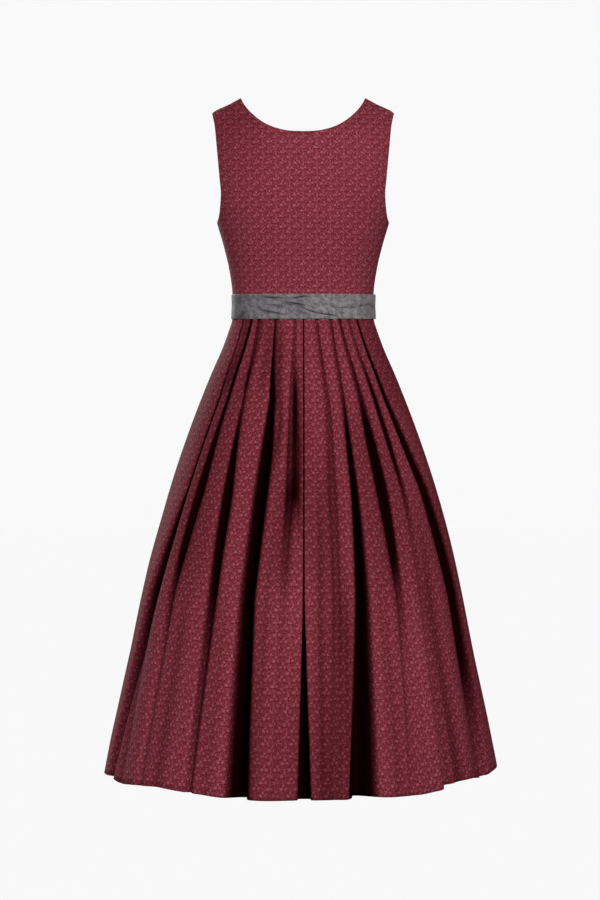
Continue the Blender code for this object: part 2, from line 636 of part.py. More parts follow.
def build_bow(finish):
    """Knot, two folded loops and two tails, lying against the band and the apron in front"""
    middle_z = 0.5 * (BAND_TOP_Z + BAND_BOTTOM_Z)
    outside = BAND_GAP + BAND_WALL + TIE_WALL + 2 * SEAM_GAP
    seat = form_point(BOW_X, middle_z, FRONT) + Vector((0.0, outside + SEAM_GAP, 0.0))
    width, deep, tall = KNOT_SIZE
    centre = seat + Vector((0.0, 0.5 * deep + SEAM_GAP, 0.0))
    mesh = bpy.data.meshes.new("bow_knot")
    shape = bmesh.new()
    bmesh.ops.create_cube(shape, size=1.0)
    bmesh.ops.scale(shape, vec=KNOT_SIZE, verts=shape.verts[:])
    bmesh.ops.bevel(shape, geom=shape.edges[:], offset=KNOT_BEVEL, segments=2, profile=0.6, affect="EDGES")
    shape.to_mesh(mesh)
    shape.free()
    mesh.shade_smooth()
    knot = add_object("bow_knot", mesh, finish)
    knot.location = centre

    turn = 0.5 * LOOP_OPENING
    root = 0.5 * LOOP_WALL + SEAM_GAP
    straight = LOOP_LENGTH - turn
    leg = [(t * straight, mix(root, turn, smooth(1.6 * t))) for t in spaced(7)]
    bend = [(straight + turn * math.sin(math.pi * t), -turn * math.cos(math.pi * t)) for t in spaced(7)]
    path = [(reach, -off) for reach, off in leg] + bend[1:-1] + leg[::-1]
    for name, hand in (("bow_loop_right", 1), ("bow_loop_left", -1)):
        start = centre.x + hand * (0.5 * width + SEAM_GAP)
        outer, inner = [], []
        for level in spaced(4):
            outer_row, inner_row = [], []
            for i, (reach, off) in enumerate(path):
                before, after = path[max(i - 1, 0)], path[min(i + 1, len(path) - 1)]
                tangent = Vector((after[0] - before[0], after[1] - before[1], 0.0)).normalized()
                normal = Vector((tangent.y, -tangent.x, 0.0))
                spread = mix(LOOP_ROOT_WIDTH, TAIL_WIDTH, smooth(reach / (0.6 * LOOP_LENGTH)))
                for row, way in ((outer_row, 1), (inner_row, -1)):
                    along = reach + way * 0.5 * LOOP_WALL * normal.x
                    off_middle = off + way * 0.5 * LOOP_WALL * normal.y
                    x = start + hand * along
                    lying = form_point(x, middle_z, FRONT).y + outside + turn + 2 * LOOP_WALL
                    z = middle_z + (0.5 - level) * spread - LOOP_DROOP * along
                    row.append(Vector((x, lying + off_middle, z)))
            outer.append(outer_row)
            inner.append(inner_row)
        strip_solid(name, *((outer, inner) if hand > 0 else (inner, outer)), finish)

    for name, hand in (("bow_tail_right", 1), ("bow_tail_left", -1)):
        top_z = centre.z - 0.5 * tall - SEAM_GAP
        rows = []
        for t in spaced(8):
            z = top_z - TAIL_LENGTH * t * (1.0 if hand > 0 else LEFT_TAIL_SHARE)
            half = 0.5 * mix(TAIL_ROOT_WIDTH, TAIL_WIDTH, smooth(2 * t))
            middle = BOW_X + hand * mix(*TAIL_SPREAD, t)
            row = []
            for s in (-1.0, -0.33, 0.33, 1.0):
                x = middle + s * half
                point = form_point(x, z, FRONT)
                lift = mix(outside, TAIL_LIFT, smooth(4 * t)) + TAIL_CUP * math.cos(math.pi * s)
                row.append(point + Vector((0.0, lift + SEAM_GAP, 0.0)))
            rows.append(row[::-1])
        cloth(name, rows, TIE_WALL, finish, offset=1.0)


def build():
    for old in list(bpy.data.objects):
        bpy.data.objects.remove(old, do_unlink=True)
    wine = material("wine_print_cotton", (0.165, 0.036, 0.049), 0.85)
    grey = material("grey_band_cotton", (0.150, 0.138, 0.140), 0.80)
    horn = material("horn_button", (0.060, 0.035, 0.025), 0.45)
    build_bodice(wine)
    build_buttons(horn)
    build_skirt(wine)
    build_band(grey)
    build_apron(grey)
    build_bow(grey)


build()
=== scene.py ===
# %% [markdown]
# # A dirndl seen from the back, in cells
# A dirndl is a sleeveless bodice sewn to a wide pleated skirt, with an apron tied over it. This one keeps
# the hollow shape that it has when somebody wears it. A packed model of it is loaded first: it is the
# frame that fixes every size, and each piece made below stands on one of its solids.

# %% Load the frame, and read the box of any of its solids
import functools
import math
from collections import namedtuple

import bmesh
import bpy
import numpy as np
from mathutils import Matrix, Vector


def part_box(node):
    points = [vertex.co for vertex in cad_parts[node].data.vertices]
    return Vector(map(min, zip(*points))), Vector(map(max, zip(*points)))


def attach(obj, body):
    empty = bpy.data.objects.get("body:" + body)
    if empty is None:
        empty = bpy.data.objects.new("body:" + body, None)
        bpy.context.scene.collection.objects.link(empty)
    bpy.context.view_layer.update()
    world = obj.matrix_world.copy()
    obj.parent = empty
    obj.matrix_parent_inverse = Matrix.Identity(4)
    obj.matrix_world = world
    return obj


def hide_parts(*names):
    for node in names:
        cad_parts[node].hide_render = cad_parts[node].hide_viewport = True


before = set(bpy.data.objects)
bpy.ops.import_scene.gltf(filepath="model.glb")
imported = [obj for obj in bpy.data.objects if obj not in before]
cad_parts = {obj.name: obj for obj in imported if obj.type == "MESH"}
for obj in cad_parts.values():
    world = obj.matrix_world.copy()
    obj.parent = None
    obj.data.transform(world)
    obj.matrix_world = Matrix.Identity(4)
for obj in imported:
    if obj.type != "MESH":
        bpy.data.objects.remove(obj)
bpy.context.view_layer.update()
print("solids in the frame:", len(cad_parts))

# %% [markdown]
# ## The worn form
# A dressmaker's form is a stack of girths. Each row below is one girth: its height, half of its width,
# how far it comes forward and back, and how square its oval is. A curve that never overshoots its points
# joins the rows, so the waist stays as narrow as measured and the hem as wide.

# %% Girths of the form, neck to hem
BACK = -1
FRONT = 1
NECK_POINT_X = 0.1116
SHOULDER_DROP = 0.0285
BACK_NECK_DROP = 0.0677
FRONT_NECK_DROP = 0.165
ARMPIT_Z = -0.2265
BAND_TOP_Z = -0.3540
WAIST_SEAM_Z = -0.3745
BAND_BOTTOM_Z = -0.3980
HEM_Z = -1.21
APRON_HEM_Z = -1.15
SEAM_GAP = 0.0003
SIDE_SEAM = 0.00004

# columns: height, half width, depth of the back, depth of the front, power of the oval
GIRTHS = np.array([
    (0.000, 0.1116, 0.0240, 0.0240, 2.00),
    (-0.010, 0.1296, 0.0320, 0.0320, 2.00),
    (-SHOULDER_DROP, 0.1630, 0.0510, 0.0500, 2.00),
    (-0.060, 0.1755, 0.0830, 0.0750, 2.10),
    (-0.100, 0.1800, 0.0990, 0.0920, 2.20),
    (-0.150, 0.1745, 0.1070, 0.1070, 2.20),
    (-0.190, 0.1640, 0.1070, 0.1150, 2.20),
    (ARMPIT_Z, 0.1543, 0.1040, 0.1180, 2.15),
    (-0.266, 0.1428, 0.0980, 0.1130, 2.10),
    (-0.310, 0.1325, 0.0920, 0.1010, 2.00),
    (-0.351, 0.1270, 0.0885, 0.0930, 2.00),
    (WAIST_SEAM_Z, 0.1262, 0.0875, 0.0915, 2.00),
    (-0.399, 0.1275, 0.0890, 0.0930, 2.00),
    (-0.418, 0.1332, 0.0960, 0.0975, 2.00),
    (-0.450, 0.1448, 0.1075, 0.1070, 2.00),
    (-0.500, 0.1666, 0.1286, 0.1230, 2.00),
    (-0.600, 0.2056, 0.1666, 0.1550, 2.00),
    (-0.700, 0.2391, 0.1992, 0.1840, 2.00),
    (-0.800, 0.2668, 0.2261, 0.2090, 2.00),
    (-0.900, 0.2899, 0.2486, 0.2300, 2.00),
    (-1.000, 0.3105, 0.2686, 0.2500, 2.00),
    (-1.100, 0.3314, 0.2890, 0.2700, 2.00),
    (HEM_Z, 0.3530, 0.3100, 0.2900, 2.00),
])
print("girths in the table:", len(GIRTHS))

# %% A curve that never overshoots its points


def smooth_curve(keys, values):
    """A function through the points that never overshoots them"""
    keys = np.array(keys, float)
    values = np.array(values, float)
    if keys[0] > keys[-1]:
        keys = keys[::-1]
        values = values[::-1]
    steps = np.diff(values) / np.diff(keys)
    same_way = steps[:-1] * steps[1:]
    total = steps[:-1] + steps[1:]
    slopes = np.concatenate([steps[:1], np.zeros(len(steps) - 1), steps[-1:]])
    turning = same_way > 0
    slopes[1:-1][turning] = 2 * same_way[turning] / total[turning]

    def value(at):
        at = np.clip(at, keys[0], keys[-1])
        i = np.clip(np.searchsorted(keys, at) - 1, 0, len(keys) - 2)
        width = keys[i + 1] - keys[i]
        t = (at - keys[i]) / width
        ends = values[i] * (2 * t ** 3 - 3 * t ** 2 + 1) + values[i + 1] * (3 * t ** 2 - 2 * t ** 3)
        return ends + width * (slopes[i] * (t ** 3 - 2 * t ** 2 + t) + slopes[i + 1] * (t ** 3 - t ** 2))

    return value


girth_z, widths, back_depths, front_depths, powers = GIRTHS.T
half_width = smooth_curve(girth_z, widths)
depth_of = {BACK: smooth_curve(girth_z, back_depths), FRONT: smooth_curve(girth_z, front_depths)}
oval_power = smooth_curve(girth_z, powers)
print("waist half width in metres:", round(float(half_width(WAIST_SEAM_Z)), 4))

# %% [markdown]
# Cloth is measured along its own surface, so each level half of the form is also kept as an arc, from the
# left side seam to the right one. A point on the dress is then an arc length and a depth under the form,
# which is how a pleat is drafted on paper.

# %% Half a girth, measured along its arc
GIRTH_POINTS = 361


def ease(t):
    """From 0 to 1 with a soft start and stop"""
    t = np.clip(t, 0.0, 1.0)
    return t * t * (3 - 2 * t)


class HalfGirth:
    """Half of a level section of the form, from the -X side seam to the +X one"""

    def __init__(self, z, side, outward=0.0):
        self.z = z
        self.degrees = np.linspace(-90.0, 90.0, GIRTH_POINTS)
        sine = np.sin(np.radians(self.degrees))
        cosine = np.abs(np.cos(np.radians(self.degrees)))
        power = 2.0 / oval_power(z)
        x = half_width(z) * np.sign(sine) * np.abs(sine) ** power
        y = side * depth_of[side](z) * cosine ** power
        along = np.stack([np.gradient(x), np.gradient(y)], axis=1)
        along /= np.linalg.norm(along, axis=1)[:, None]
        self.inward = np.stack([side * along[:, 1], -side * along[:, 0]], axis=1)
        self.x = x - outward * self.inward[:, 0]
        self.y = y - outward * self.inward[:, 1]
        steps = np.hypot(np.diff(self.x), np.diff(self.y))
        self.arcs = np.concatenate([[0.0], np.cumsum(steps)])

    def arc(self, degrees):
        return np.interp(degrees, self.degrees, self.arcs)

    def place(self, arc, depth=0.0):
        x = np.interp(arc, self.arcs, self.x) + depth * np.interp(arc, self.arcs, self.inward[:, 0])
        y = np.interp(arc, self.arcs, self.y) + depth * np.interp(arc, self.arcs, self.inward[:, 1])
        return np.stack([x, y, np.full_like(x, self.z)], axis=-1)


@functools.lru_cache(maxsize=None)
def half_girth(z, side):
    return HalfGirth(z, side)


waist_girth = sum(half_girth(WAIST_SEAM_Z, side).arcs[-1] for side in (BACK, FRONT))
print("girth of the waist in metres:", round(float(waist_girth), 3))

# %% [markdown]
# ## A printed cotton
# The dress is cut from a wine red cotton with a small sprig all over it. A picture of the cloth would do it,
# but a print drawn with shader nodes stays sharp at any distance. It is drawn over the cloth's own
# coordinates, which are metres of cloth, so it turns with every pleat as printed cotton does. A few helpers
# come first, which keep the drawing itself short.

# %% Small helpers for drawing with shader nodes


class Drawing:
    """A material whose colour and relief are worked out by nodes"""

    def __init__(self, name):
        self.material = bpy.data.materials.new(name)
        self.material.use_nodes = True
        self.tree = self.material.node_tree
        self.shader = self.tree.nodes["Principled BSDF"]

    def node(self, kind, **settings):
        made = self.tree.nodes.new(kind)
        for name, value in settings.items():
            setattr(made, name, value)
        return made

    def feed(self, socket, value):
        if isinstance(value, bpy.types.NodeSocket):
            self.tree.links.new(value, socket)
        else:
            socket.default_value = value

    def math(self, operation, *values):
        made = self.node("ShaderNodeMath", operation=operation)
        for socket, value in zip(made.inputs, values):
            self.feed(socket, value)
        return made.outputs[0]

    def soft_step(self, value, low, high):
        """1 where the value is below low, 0 above high, and soft between"""
        made = self.node("ShaderNodeMapRange", interpolation_type="SMOOTHSTEP")
        self.feed(made.inputs["Value"], value)
        made.inputs["From Min"].default_value = low
        made.inputs["From Max"].default_value = high
        made.inputs["To Min"].default_value = 1.0
        made.inputs["To Max"].default_value = 0.0
        return made.outputs["Result"]

    def blend(self, amount, first, second, way="MIX"):
        made = self.node("ShaderNodeMix", data_type="RGBA", blend_type=way)
        self.feed(made.inputs["Factor"], amount)
        self.feed(made.inputs["A"], first)
        self.feed(made.inputs["B"], second)
        return made.outputs["Result"]

    def pair(self, x, y):
        """Two numbers as one vector"""
        made = self.node("ShaderNodeCombineXYZ")
        self.feed(made.inputs["X"], x)
        self.feed(made.inputs["Y"], y)
        return made.outputs["Vector"]

    def parts(self, vector):
        """The first two numbers of a vector"""
        made = self.node("ShaderNodeSeparateXYZ")
        self.feed(made.inputs["Vector"], vector)
        return made.outputs["X"], made.outputs["Y"]

    def from_centre(self, point, mark):
        """How far the point is from the middle of an ellipse: 1 is its edge"""
        made = self.node("ShaderNodeMapping", vector_type="TEXTURE")
        self.feed(made.inputs["Vector"], point)
        made.inputs["Location"].default_value = (mark.across, mark.up, 0.0)
        made.inputs["Rotation"].default_value = (0.0, 0.0, math.radians(mark.turn))
        made.inputs["Scale"].default_value = (mark.half_wide, mark.half_tall, 1.0)
        length = self.node("ShaderNodeVectorMath", operation="LENGTH")
        self.tree.links.new(made.outputs["Vector"], length.inputs[0])
        return length.outputs["Value"]

    def printed(self, point, marks, inner, outer):
        """Where any of the marks is printed, with edges that fade from inner to outer"""
        amount = 0.0
        for mark in marks:
            covered = self.soft_step(self.from_centre(point, mark), inner, outer)
            amount = self.math("MAXIMUM", amount, covered)
        return amount

    def noise(self, point, scale, detail=2.0, roughness=0.5, output="Fac"):
        made = self.node("ShaderNodeTexNoise")
        self.feed(made.inputs["Vector"], point)
        made.inputs["Scale"].default_value = scale
        made.inputs["Detail"].default_value = detail
        made.inputs["Roughness"].default_value = roughness
        return made.outputs[output]

    def relief(self, height, distance, strength=1.0, below=None):
        made = self.node("ShaderNodeBump")
        made.inputs["Strength"].default_value = strength
        made.inputs["Distance"].default_value = distance
        self.feed(made.inputs["Height"], height)
        if below is not None:
            self.tree.links.new(below, made.inputs["Normal"])
        return made.outputs["Normal"]

    def finished(self, colour, roughness, normal=None):
        """The material with its colour, its gloss and its relief"""
        self.feed(self.shader.inputs["Base Color"], colour)
        self.shader.inputs["Roughness"].default_value = roughness
        if normal is not None:
            self.feed(self.shader.inputs["Normal"], normal)
        return self.material


print("ways to draw:", [name for name in vars(Drawing) if not name.startswith("_")])

# %% What only cloth has: a place on itself, the shade painted in its folds, and its weave


class Cloth(Drawing):
    """A woven material, drawn in the metres of the cloth"""

    def cloth_place(self):
        """The place on the cloth, and how far that is across and along it, in metres"""
        place = self.node("ShaderNodeUVMap", uv_map="cloth").outputs["UV"]
        return (place, *self.parts(place))

    def painted_shade(self):
        """The shade painted on the cloth here, in folds and hollows and where it turns from the light"""
        made = self.node("ShaderNodeAttribute", attribute_name="painted_shade")
        return made.outputs["Fac"]

    def weave(self, place, scale):
        """Warp and weft: bands across the cloth times bands along it"""
        bands = []
        for direction in "XY":
            made = self.node("ShaderNodeTexWave", wave_type="BANDS", bands_direction=direction)
            made.inputs["Scale"].default_value = scale
            self.feed(made.inputs["Vector"], place)
            bands.append(made.outputs["Fac"])
        return self.math("MULTIPLY", *bands)


print("and on cloth:", [name for name in vars(Cloth) if not name.startswith("_")])

# %% [markdown]
# On the cloth a sprig is three or four pale petals, with dark curls round them and a faint stem to the next
# one; every second column is dropped by half a repeat. Each mark is small and soft, so an ellipse is enough
# for it, and a chart of ellipses can be drawn. A sprig of the bodice has four petals; one of the
# skirt has three and is larger.

# %% The print's chart, in millimetres from the middle of a sprig
Petal = namedtuple("Petal", "across up half_wide half_tall turn")
Chart = namedtuple("Chart", "petals shadows")
CORNER_SHADOWS = [Petal(-5.6, -5.2, 1.5, 1.2, 0.0), Petal(4.9, -5.8, 1.4, 1.5, 20.0)]
BODICE_CHART = Chart(
    [Petal(-2.8, -1.7, 2.7, 2.6, 30.0), Petal(0.4, 3.4, 1.8, 2.2, 0.0), Petal(3.9, -0.2, 1.7, 2.2, -20.0),
     Petal(1.0, -3.0, 1.5, 1.0, 40.0)],
    [Petal(-2.6, -5.0, 2.3, 1.1, -14.0), Petal(2.6, -3.9, 2.2, 1.1, 44.0), Petal(-3.0, 2.6, 1.4, 1.7, 30.0),
     Petal(3.0, 3.0, 1.3, 1.8, -30.0), Petal(0.4, -0.2, 0.9, 1.4, 0.0)] + CORNER_SHADOWS)
SKIRT_CHART = Chart(
    [Petal(-2.7, -1.8, 2.8, 2.7, 20.0), Petal(0.8, 3.2, 2.0, 2.1, 0.0), Petal(4.0, -1.4, 2.0, 2.2, -30.0)],
    [Petal(-3.4, -5.0, 2.0, 1.0, -12.0), Petal(1.0, -4.4, 1.6, 1.3, 24.0), Petal(-2.9, 2.5, 1.6, 1.3, 30.0),
     Petal(3.5, 2.2, 1.4, 1.6, -30.0), Petal(0.8, -0.4, 1.0, 1.5, 0.0)] + CORNER_SHADOWS)
STEM = Petal(0.2, 8.6, 1.3, 4.2, 3.0)
CHART_REPEAT = 18.7
# a stem reaches into the next sprig's place, so it is charted there as well
STEMS = [STEM, STEM._replace(up=STEM.up - CHART_REPEAT)]
print("petals of a sprig, bodice and skirt:", len(BODICE_CHART.petals), len(SKIRT_CHART.petals))

# %% [markdown]
# The shader finds the column and the row of each point by rounding, and what is left over is its place in the
# sprig. No hand print is quite regular: the whole chart strays softly by a millimetre or two, and no two
# sprigs take the ink alike, so each gets a number of its own.

# %% Where each sprig is printed
STRAY = 0.0045
STRAY_SCALE = 70.0


def sprig_places(cloth, place, across, along, column, repeat):
    """Each point's place in its sprig, a chance for each sprig, and 1 in a column that is dropped"""
    right, up = cloth.parts(cloth.noise(place, STRAY_SCALE, output="Color"))
    across = cloth.math("MULTIPLY_ADD", cloth.math("SUBTRACT", right, 0.5), STRAY, across)
    along = cloth.math("MULTIPLY_ADD", cloth.math("SUBTRACT", up, 0.5), STRAY, along)
    column_number = cloth.math("ROUND", cloth.math("DIVIDE", across, column))
    dropped = cloth.math("FLOORED_MODULO", column_number, 2.0)
    along = cloth.math("ADD", along, cloth.math("MULTIPLY", dropped, 0.5 * repeat))
    row_number = cloth.math("ROUND", cloth.math("DIVIDE", along, repeat))
    beside = cloth.math("SUBTRACT", across, cloth.math("MULTIPLY", column_number, column))
    above = cloth.math("SUBTRACT", along, cloth.math("MULTIPLY", row_number, repeat))
    to_chart = CHART_REPEAT / repeat
    in_sprig = cloth.pair(cloth.math("MULTIPLY", beside, to_chart), cloth.math("MULTIPLY", above, to_chart))
    chance = cloth.node("ShaderNodeTexWhiteNoise", noise_dimensions="2D")
    cloth.feed(chance.inputs["Vector"], cloth.pair(column_number, row_number))
    return in_sprig, chance.outputs["Value"], dropped


print("the chart strays by up to", 0.5 * STRAY, "metres")

# %% [markdown]
# The layers go on as on the printing table: the ground, the stems, the dark curls, the pale petals, and then
# specks where the ink has run or missed. Where the cloth lies in a fold or a hollow, or turns from the light,
# shade is painted into its colour, down to a near-black red. A fold is lit by the red cloth beside it, so the
# painted shade takes away more green and blue than red. The wrong side is the same print with less ink and
# no painted shade, and the weave is a fine relief over it all.

# %% Print the cotton, right side and wrong side
PETAL_RED = (0.372, 0.095, 0.127, 1.0)
GROUND_RED = (0.178, 0.0215, 0.0355, 1.0)
SHADOW_RED = (0.068, 0.004, 0.009, 1.0)
STEM_RED = (0.245, 0.046, 0.066, 1.0)
# colour and tint of the shade painted in folds, hollows and where the cloth turns from the light
PAINTED_SHADE_RED = (0.007, 0.0006, 0.0006, 1.0)
PAINTED_SHADE_TINT = (1.0, 0.70, 0.69, 1.0)
# where an edge starts and ends to fade, in shares of its ellipse
PETAL_EDGE = (0.25, 1.40)
SHADOW_EDGE = (0.30, 1.50)
STEM_EDGE = (0.2, 1.6)
LEAST_INK = 0.76
MORE_INK = 0.36
WINE_ROUGHNESS = 0.86
WINE_GLOSS = 0.08


def wine_cotton(name, chart, column, repeat, ink=1.0, folds=True):
    """Wine red cotton with its sprigs a column and a repeat apart, in metres"""
    cloth = Cloth(name)
    place, across, along = cloth.cloth_place()
    in_sprig, chance, dropped = sprig_places(cloth, place, across, along, column, repeat)
    inked = cloth.math("MULTIPLY_ADD", chance, MORE_INK * ink, LEAST_INK * ink)
    fading = cloth.noise(place, scale=280.0, detail=3.0, roughness=0.7)
    grain = cloth.noise(place, scale=380.0, detail=4.0, roughness=0.9)

    petals = cloth.math("MULTIPLY", cloth.printed(in_sprig, chart.petals, *PETAL_EDGE), inked)
    petals = cloth.math("MULTIPLY", petals, cloth.math("MULTIPLY_ADD", fading, 3.0, -0.70))
    shadows = cloth.printed(in_sprig, chart.shadows, *SHADOW_EDGE)
    shadows = cloth.math("MULTIPLY", shadows, cloth.math("MULTIPLY_ADD", fading, -1.2 * ink, 1.35 * ink))
    stems = cloth.printed(in_sprig, STEMS, *STEM_EDGE)
    stems = cloth.math("MULTIPLY", stems, cloth.math("SUBTRACT", 1.0, dropped))
    layers = [
        (cloth.math("MULTIPLY", stems, 0.8), STEM_RED),
        (cloth.math("MINIMUM", shadows, 1.0), SHADOW_RED),
        (petals, PETAL_RED),
        (cloth.math("MULTIPLY", cloth.soft_step(grain, 0.36, 0.52), 0.95), SHADOW_RED),
        (cloth.math("MULTIPLY", cloth.soft_step(grain, 0.64, 0.51), 0.72), PETAL_RED),
    ]
    colour = GROUND_RED
    for amount, red in layers:
        colour = cloth.blend(amount, colour, red)
    # painted shade: as far as the cloth's shade attribute says, the colour is tinted and then darkened to
    # near black
    if folds:
        colour = cloth.blend(cloth.painted_shade(), colour, PAINTED_SHADE_TINT, "MULTIPLY")
        colour = cloth.blend(cloth.painted_shade(), colour, PAINTED_SHADE_RED)

    slubs = cloth.noise(place, scale=900.0, detail=3.0, roughness=0.65)
    woven = cloth.math("MULTIPLY_ADD", slubs, 0.8, cloth.weave(place, 480.0))
    crumple = cloth.noise(place, scale=26.0, detail=3.0, roughness=0.5)
    normal = cloth.relief(crumple, distance=0.0022, strength=0.55)
    normal = cloth.relief(woven, distance=0.00012, strength=0.6, below=normal)
    # no gloss where shade is painted
    in_light = cloth.math("SUBTRACT", 1.0, cloth.painted_shade())
    cloth.feed(cloth.shader.inputs["Specular IOR Level"], cloth.math("MULTIPLY", in_light, WINE_GLOSS))
    return cloth.finished(colour, WINE_ROUGHNESS, normal)


# chart, distance between the columns and repeat along them
BODICE_PRINT = (BODICE_CHART, 0.0120, 0.0187)
SKIRT_PRINT = (SKIRT_CHART, 0.0128, 0.0219)
# the wrong side gets less ink and no painted shade
WRONG_SIDE = {"ink": 0.3, "folds": False}
bodice_cotton = wine_cotton("wine_sprig_bodice", *BODICE_PRINT)
bodice_wrong_side = wine_cotton("wine_sprig_bodice_inside", *BODICE_PRINT, **WRONG_SIDE)
skirt_cotton = wine_cotton("wine_sprig_skirt", *SKIRT_PRINT)
skirt_wrong_side = wine_cotton("wine_sprig_skirt_inside", *SKIRT_PRINT, **WRONG_SIDE)
print("printed cottons:", bodice_cotton.name, skirt_cotton.name)

# %% [markdown]
# ## Cloth from rows of points
# Every panel here is a net of points laid row by row, from the top down and left to right as seen from
# outside. The net becomes faces, its cloth coordinates are kept in metres, and a Solidify modifier gives
# it the thickness of cotton. Working from a net keeps the folds exactly where the table puts them.

# %% Turn a net of points into a piece of cloth
COTTON_WALL = 0.0009


def into_scene(name, data):
    """A new object that shows the data"""
    made = bpy.data.objects.new(name, data)
    bpy.context.scene.collection.objects.link(made)
    return made


def thicken(made, wall, offset=0.0):
    """A wall of cotton, with the second finish on its wrong side"""
    thick = made.modifiers.new("wall", "SOLIDIFY")
    thick.thickness = wall
    thick.offset = offset
    thick.material_offset = 1


def keep_shade(mesh, amounts):
    """How much shade is painted at each point, from 0 on the open panel to 1 at the bottom of a fold"""
    layer = mesh.attributes.new("painted_shade", "FLOAT", "POINT")
    layer.data.foreach_set("value", np.asarray(amounts, np.float32))


def cloth_object(name, net, across, along, finish, wall=COTTON_WALL, ring=False, shade=None, inside=None):
    """across and along hold (left, right) and (upper, lower) cloth coordinates for each face of the net"""
    rows, columns = net.shape[:2]
    numbers = np.arange(rows * columns).reshape(rows, columns)
    left = numbers if ring else numbers[:, :-1]
    right = np.roll(numbers, -1, axis=1) if ring else numbers[:, 1:]
    faces = np.stack([left[:-1], left[1:], right[1:], right[:-1]], axis=-1).reshape(-1, 4)
    mesh = bpy.data.meshes.new(name)
    mesh.from_pydata(net.reshape(-1, 3).tolist(), [], faces.tolist())
    corners = np.empty((rows - 1, left.shape[1], 4, 2))
    corners[:, :, 0, 0] = across[0][:-1]
    corners[:, :, 1, 0] = across[0][1:]
    corners[:, :, 2, 0] = across[1][1:]
    corners[:, :, 3, 0] = across[1][:-1]
    corners[:, :, (0, 3), 1] = along[0][:, :, None]
    corners[:, :, (1, 2), 1] = along[1][:, :, None]
    layer = mesh.uv_layers.new(name="cloth")
    layer.data.foreach_set("uv", corners.reshape(-1))
    keep_shade(mesh, np.zeros(rows * columns) if shade is None else shade.reshape(-1))
    mesh.shade_smooth()
    mesh.materials.append(finish)
    mesh.materials.append(inside or finish)
    made = into_scene(name, mesh)
    if wall:
        thicken(made, wall)
    return made


print("thickness of the cotton in metres:", COTTON_WALL)

# %% Measure a net and dress its solid


def plain_coordinates(net, ring=False):
    """Cloth coordinates of a net with no folds: lengths along its rows and down its middle column"""
    closed = np.concatenate([net, net[:, :1]], axis=1) if ring else net
    across = np.zeros(closed.shape[:2])
    across[:, 1:] = np.cumsum(np.linalg.norm(np.diff(closed, axis=1), axis=2), axis=1)
    across -= across[:, across.shape[1] // 2][:, None]
    middle = net[:, net.shape[1] // 2]
    down = np.concatenate([[0.0], -np.cumsum(np.linalg.norm(np.diff(middle, axis=0), axis=1))])
    faces_across = closed.shape[1] - 1
    upper = np.repeat(down[:-1, None], faces_across, axis=1)
    lower = np.repeat(down[1:, None], faces_across, axis=1)
    return (across[:, :-1], across[:, 1:]), (upper, lower)


def net_area(net):
    down = np.diff(net, axis=0)[:, :-1]
    right = np.diff(net, axis=1)[:-1]
    return float(np.linalg.norm(np.cross(right, down), axis=2).sum())


def dressed(piece, node):
    """The piece stands for its solid: it hangs from the root, and the solid is hidden"""
    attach(piece, "root")
    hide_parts(node)
    print(piece.name, "has", len(piece.data.polygons), "faces")
    return piece


unit_square = np.array([[(0, 0, 0), (1, 0, 0)], [(0, -1, 0), (1, -1, 0)]], float)
print("area of a net of one square:", net_area(unit_square))

# %% [markdown]
# ## The pleated skirt
# The skirt is a straight width of cotton laid in knife pleats that point to a centre box pleat, sewn flat at
# the waist and falling open towards the hem. Cloth simulation could let them fall, but then no pleat would
# land where it should. Here each pleat is a row in a table: where its folded edge runs at five heights, and
# how wide and deep its trough has opened. A smooth line through these control points is one level of cloth.

# %% The pleats' tables
STATIONS = (-0.400, -0.540, -0.700, -0.880, HEM_Z)
SHADE_STATIONS = (-0.400, -0.470, -0.540, -0.620, -0.700, -0.790, -0.880, -1.000, HEM_Z)
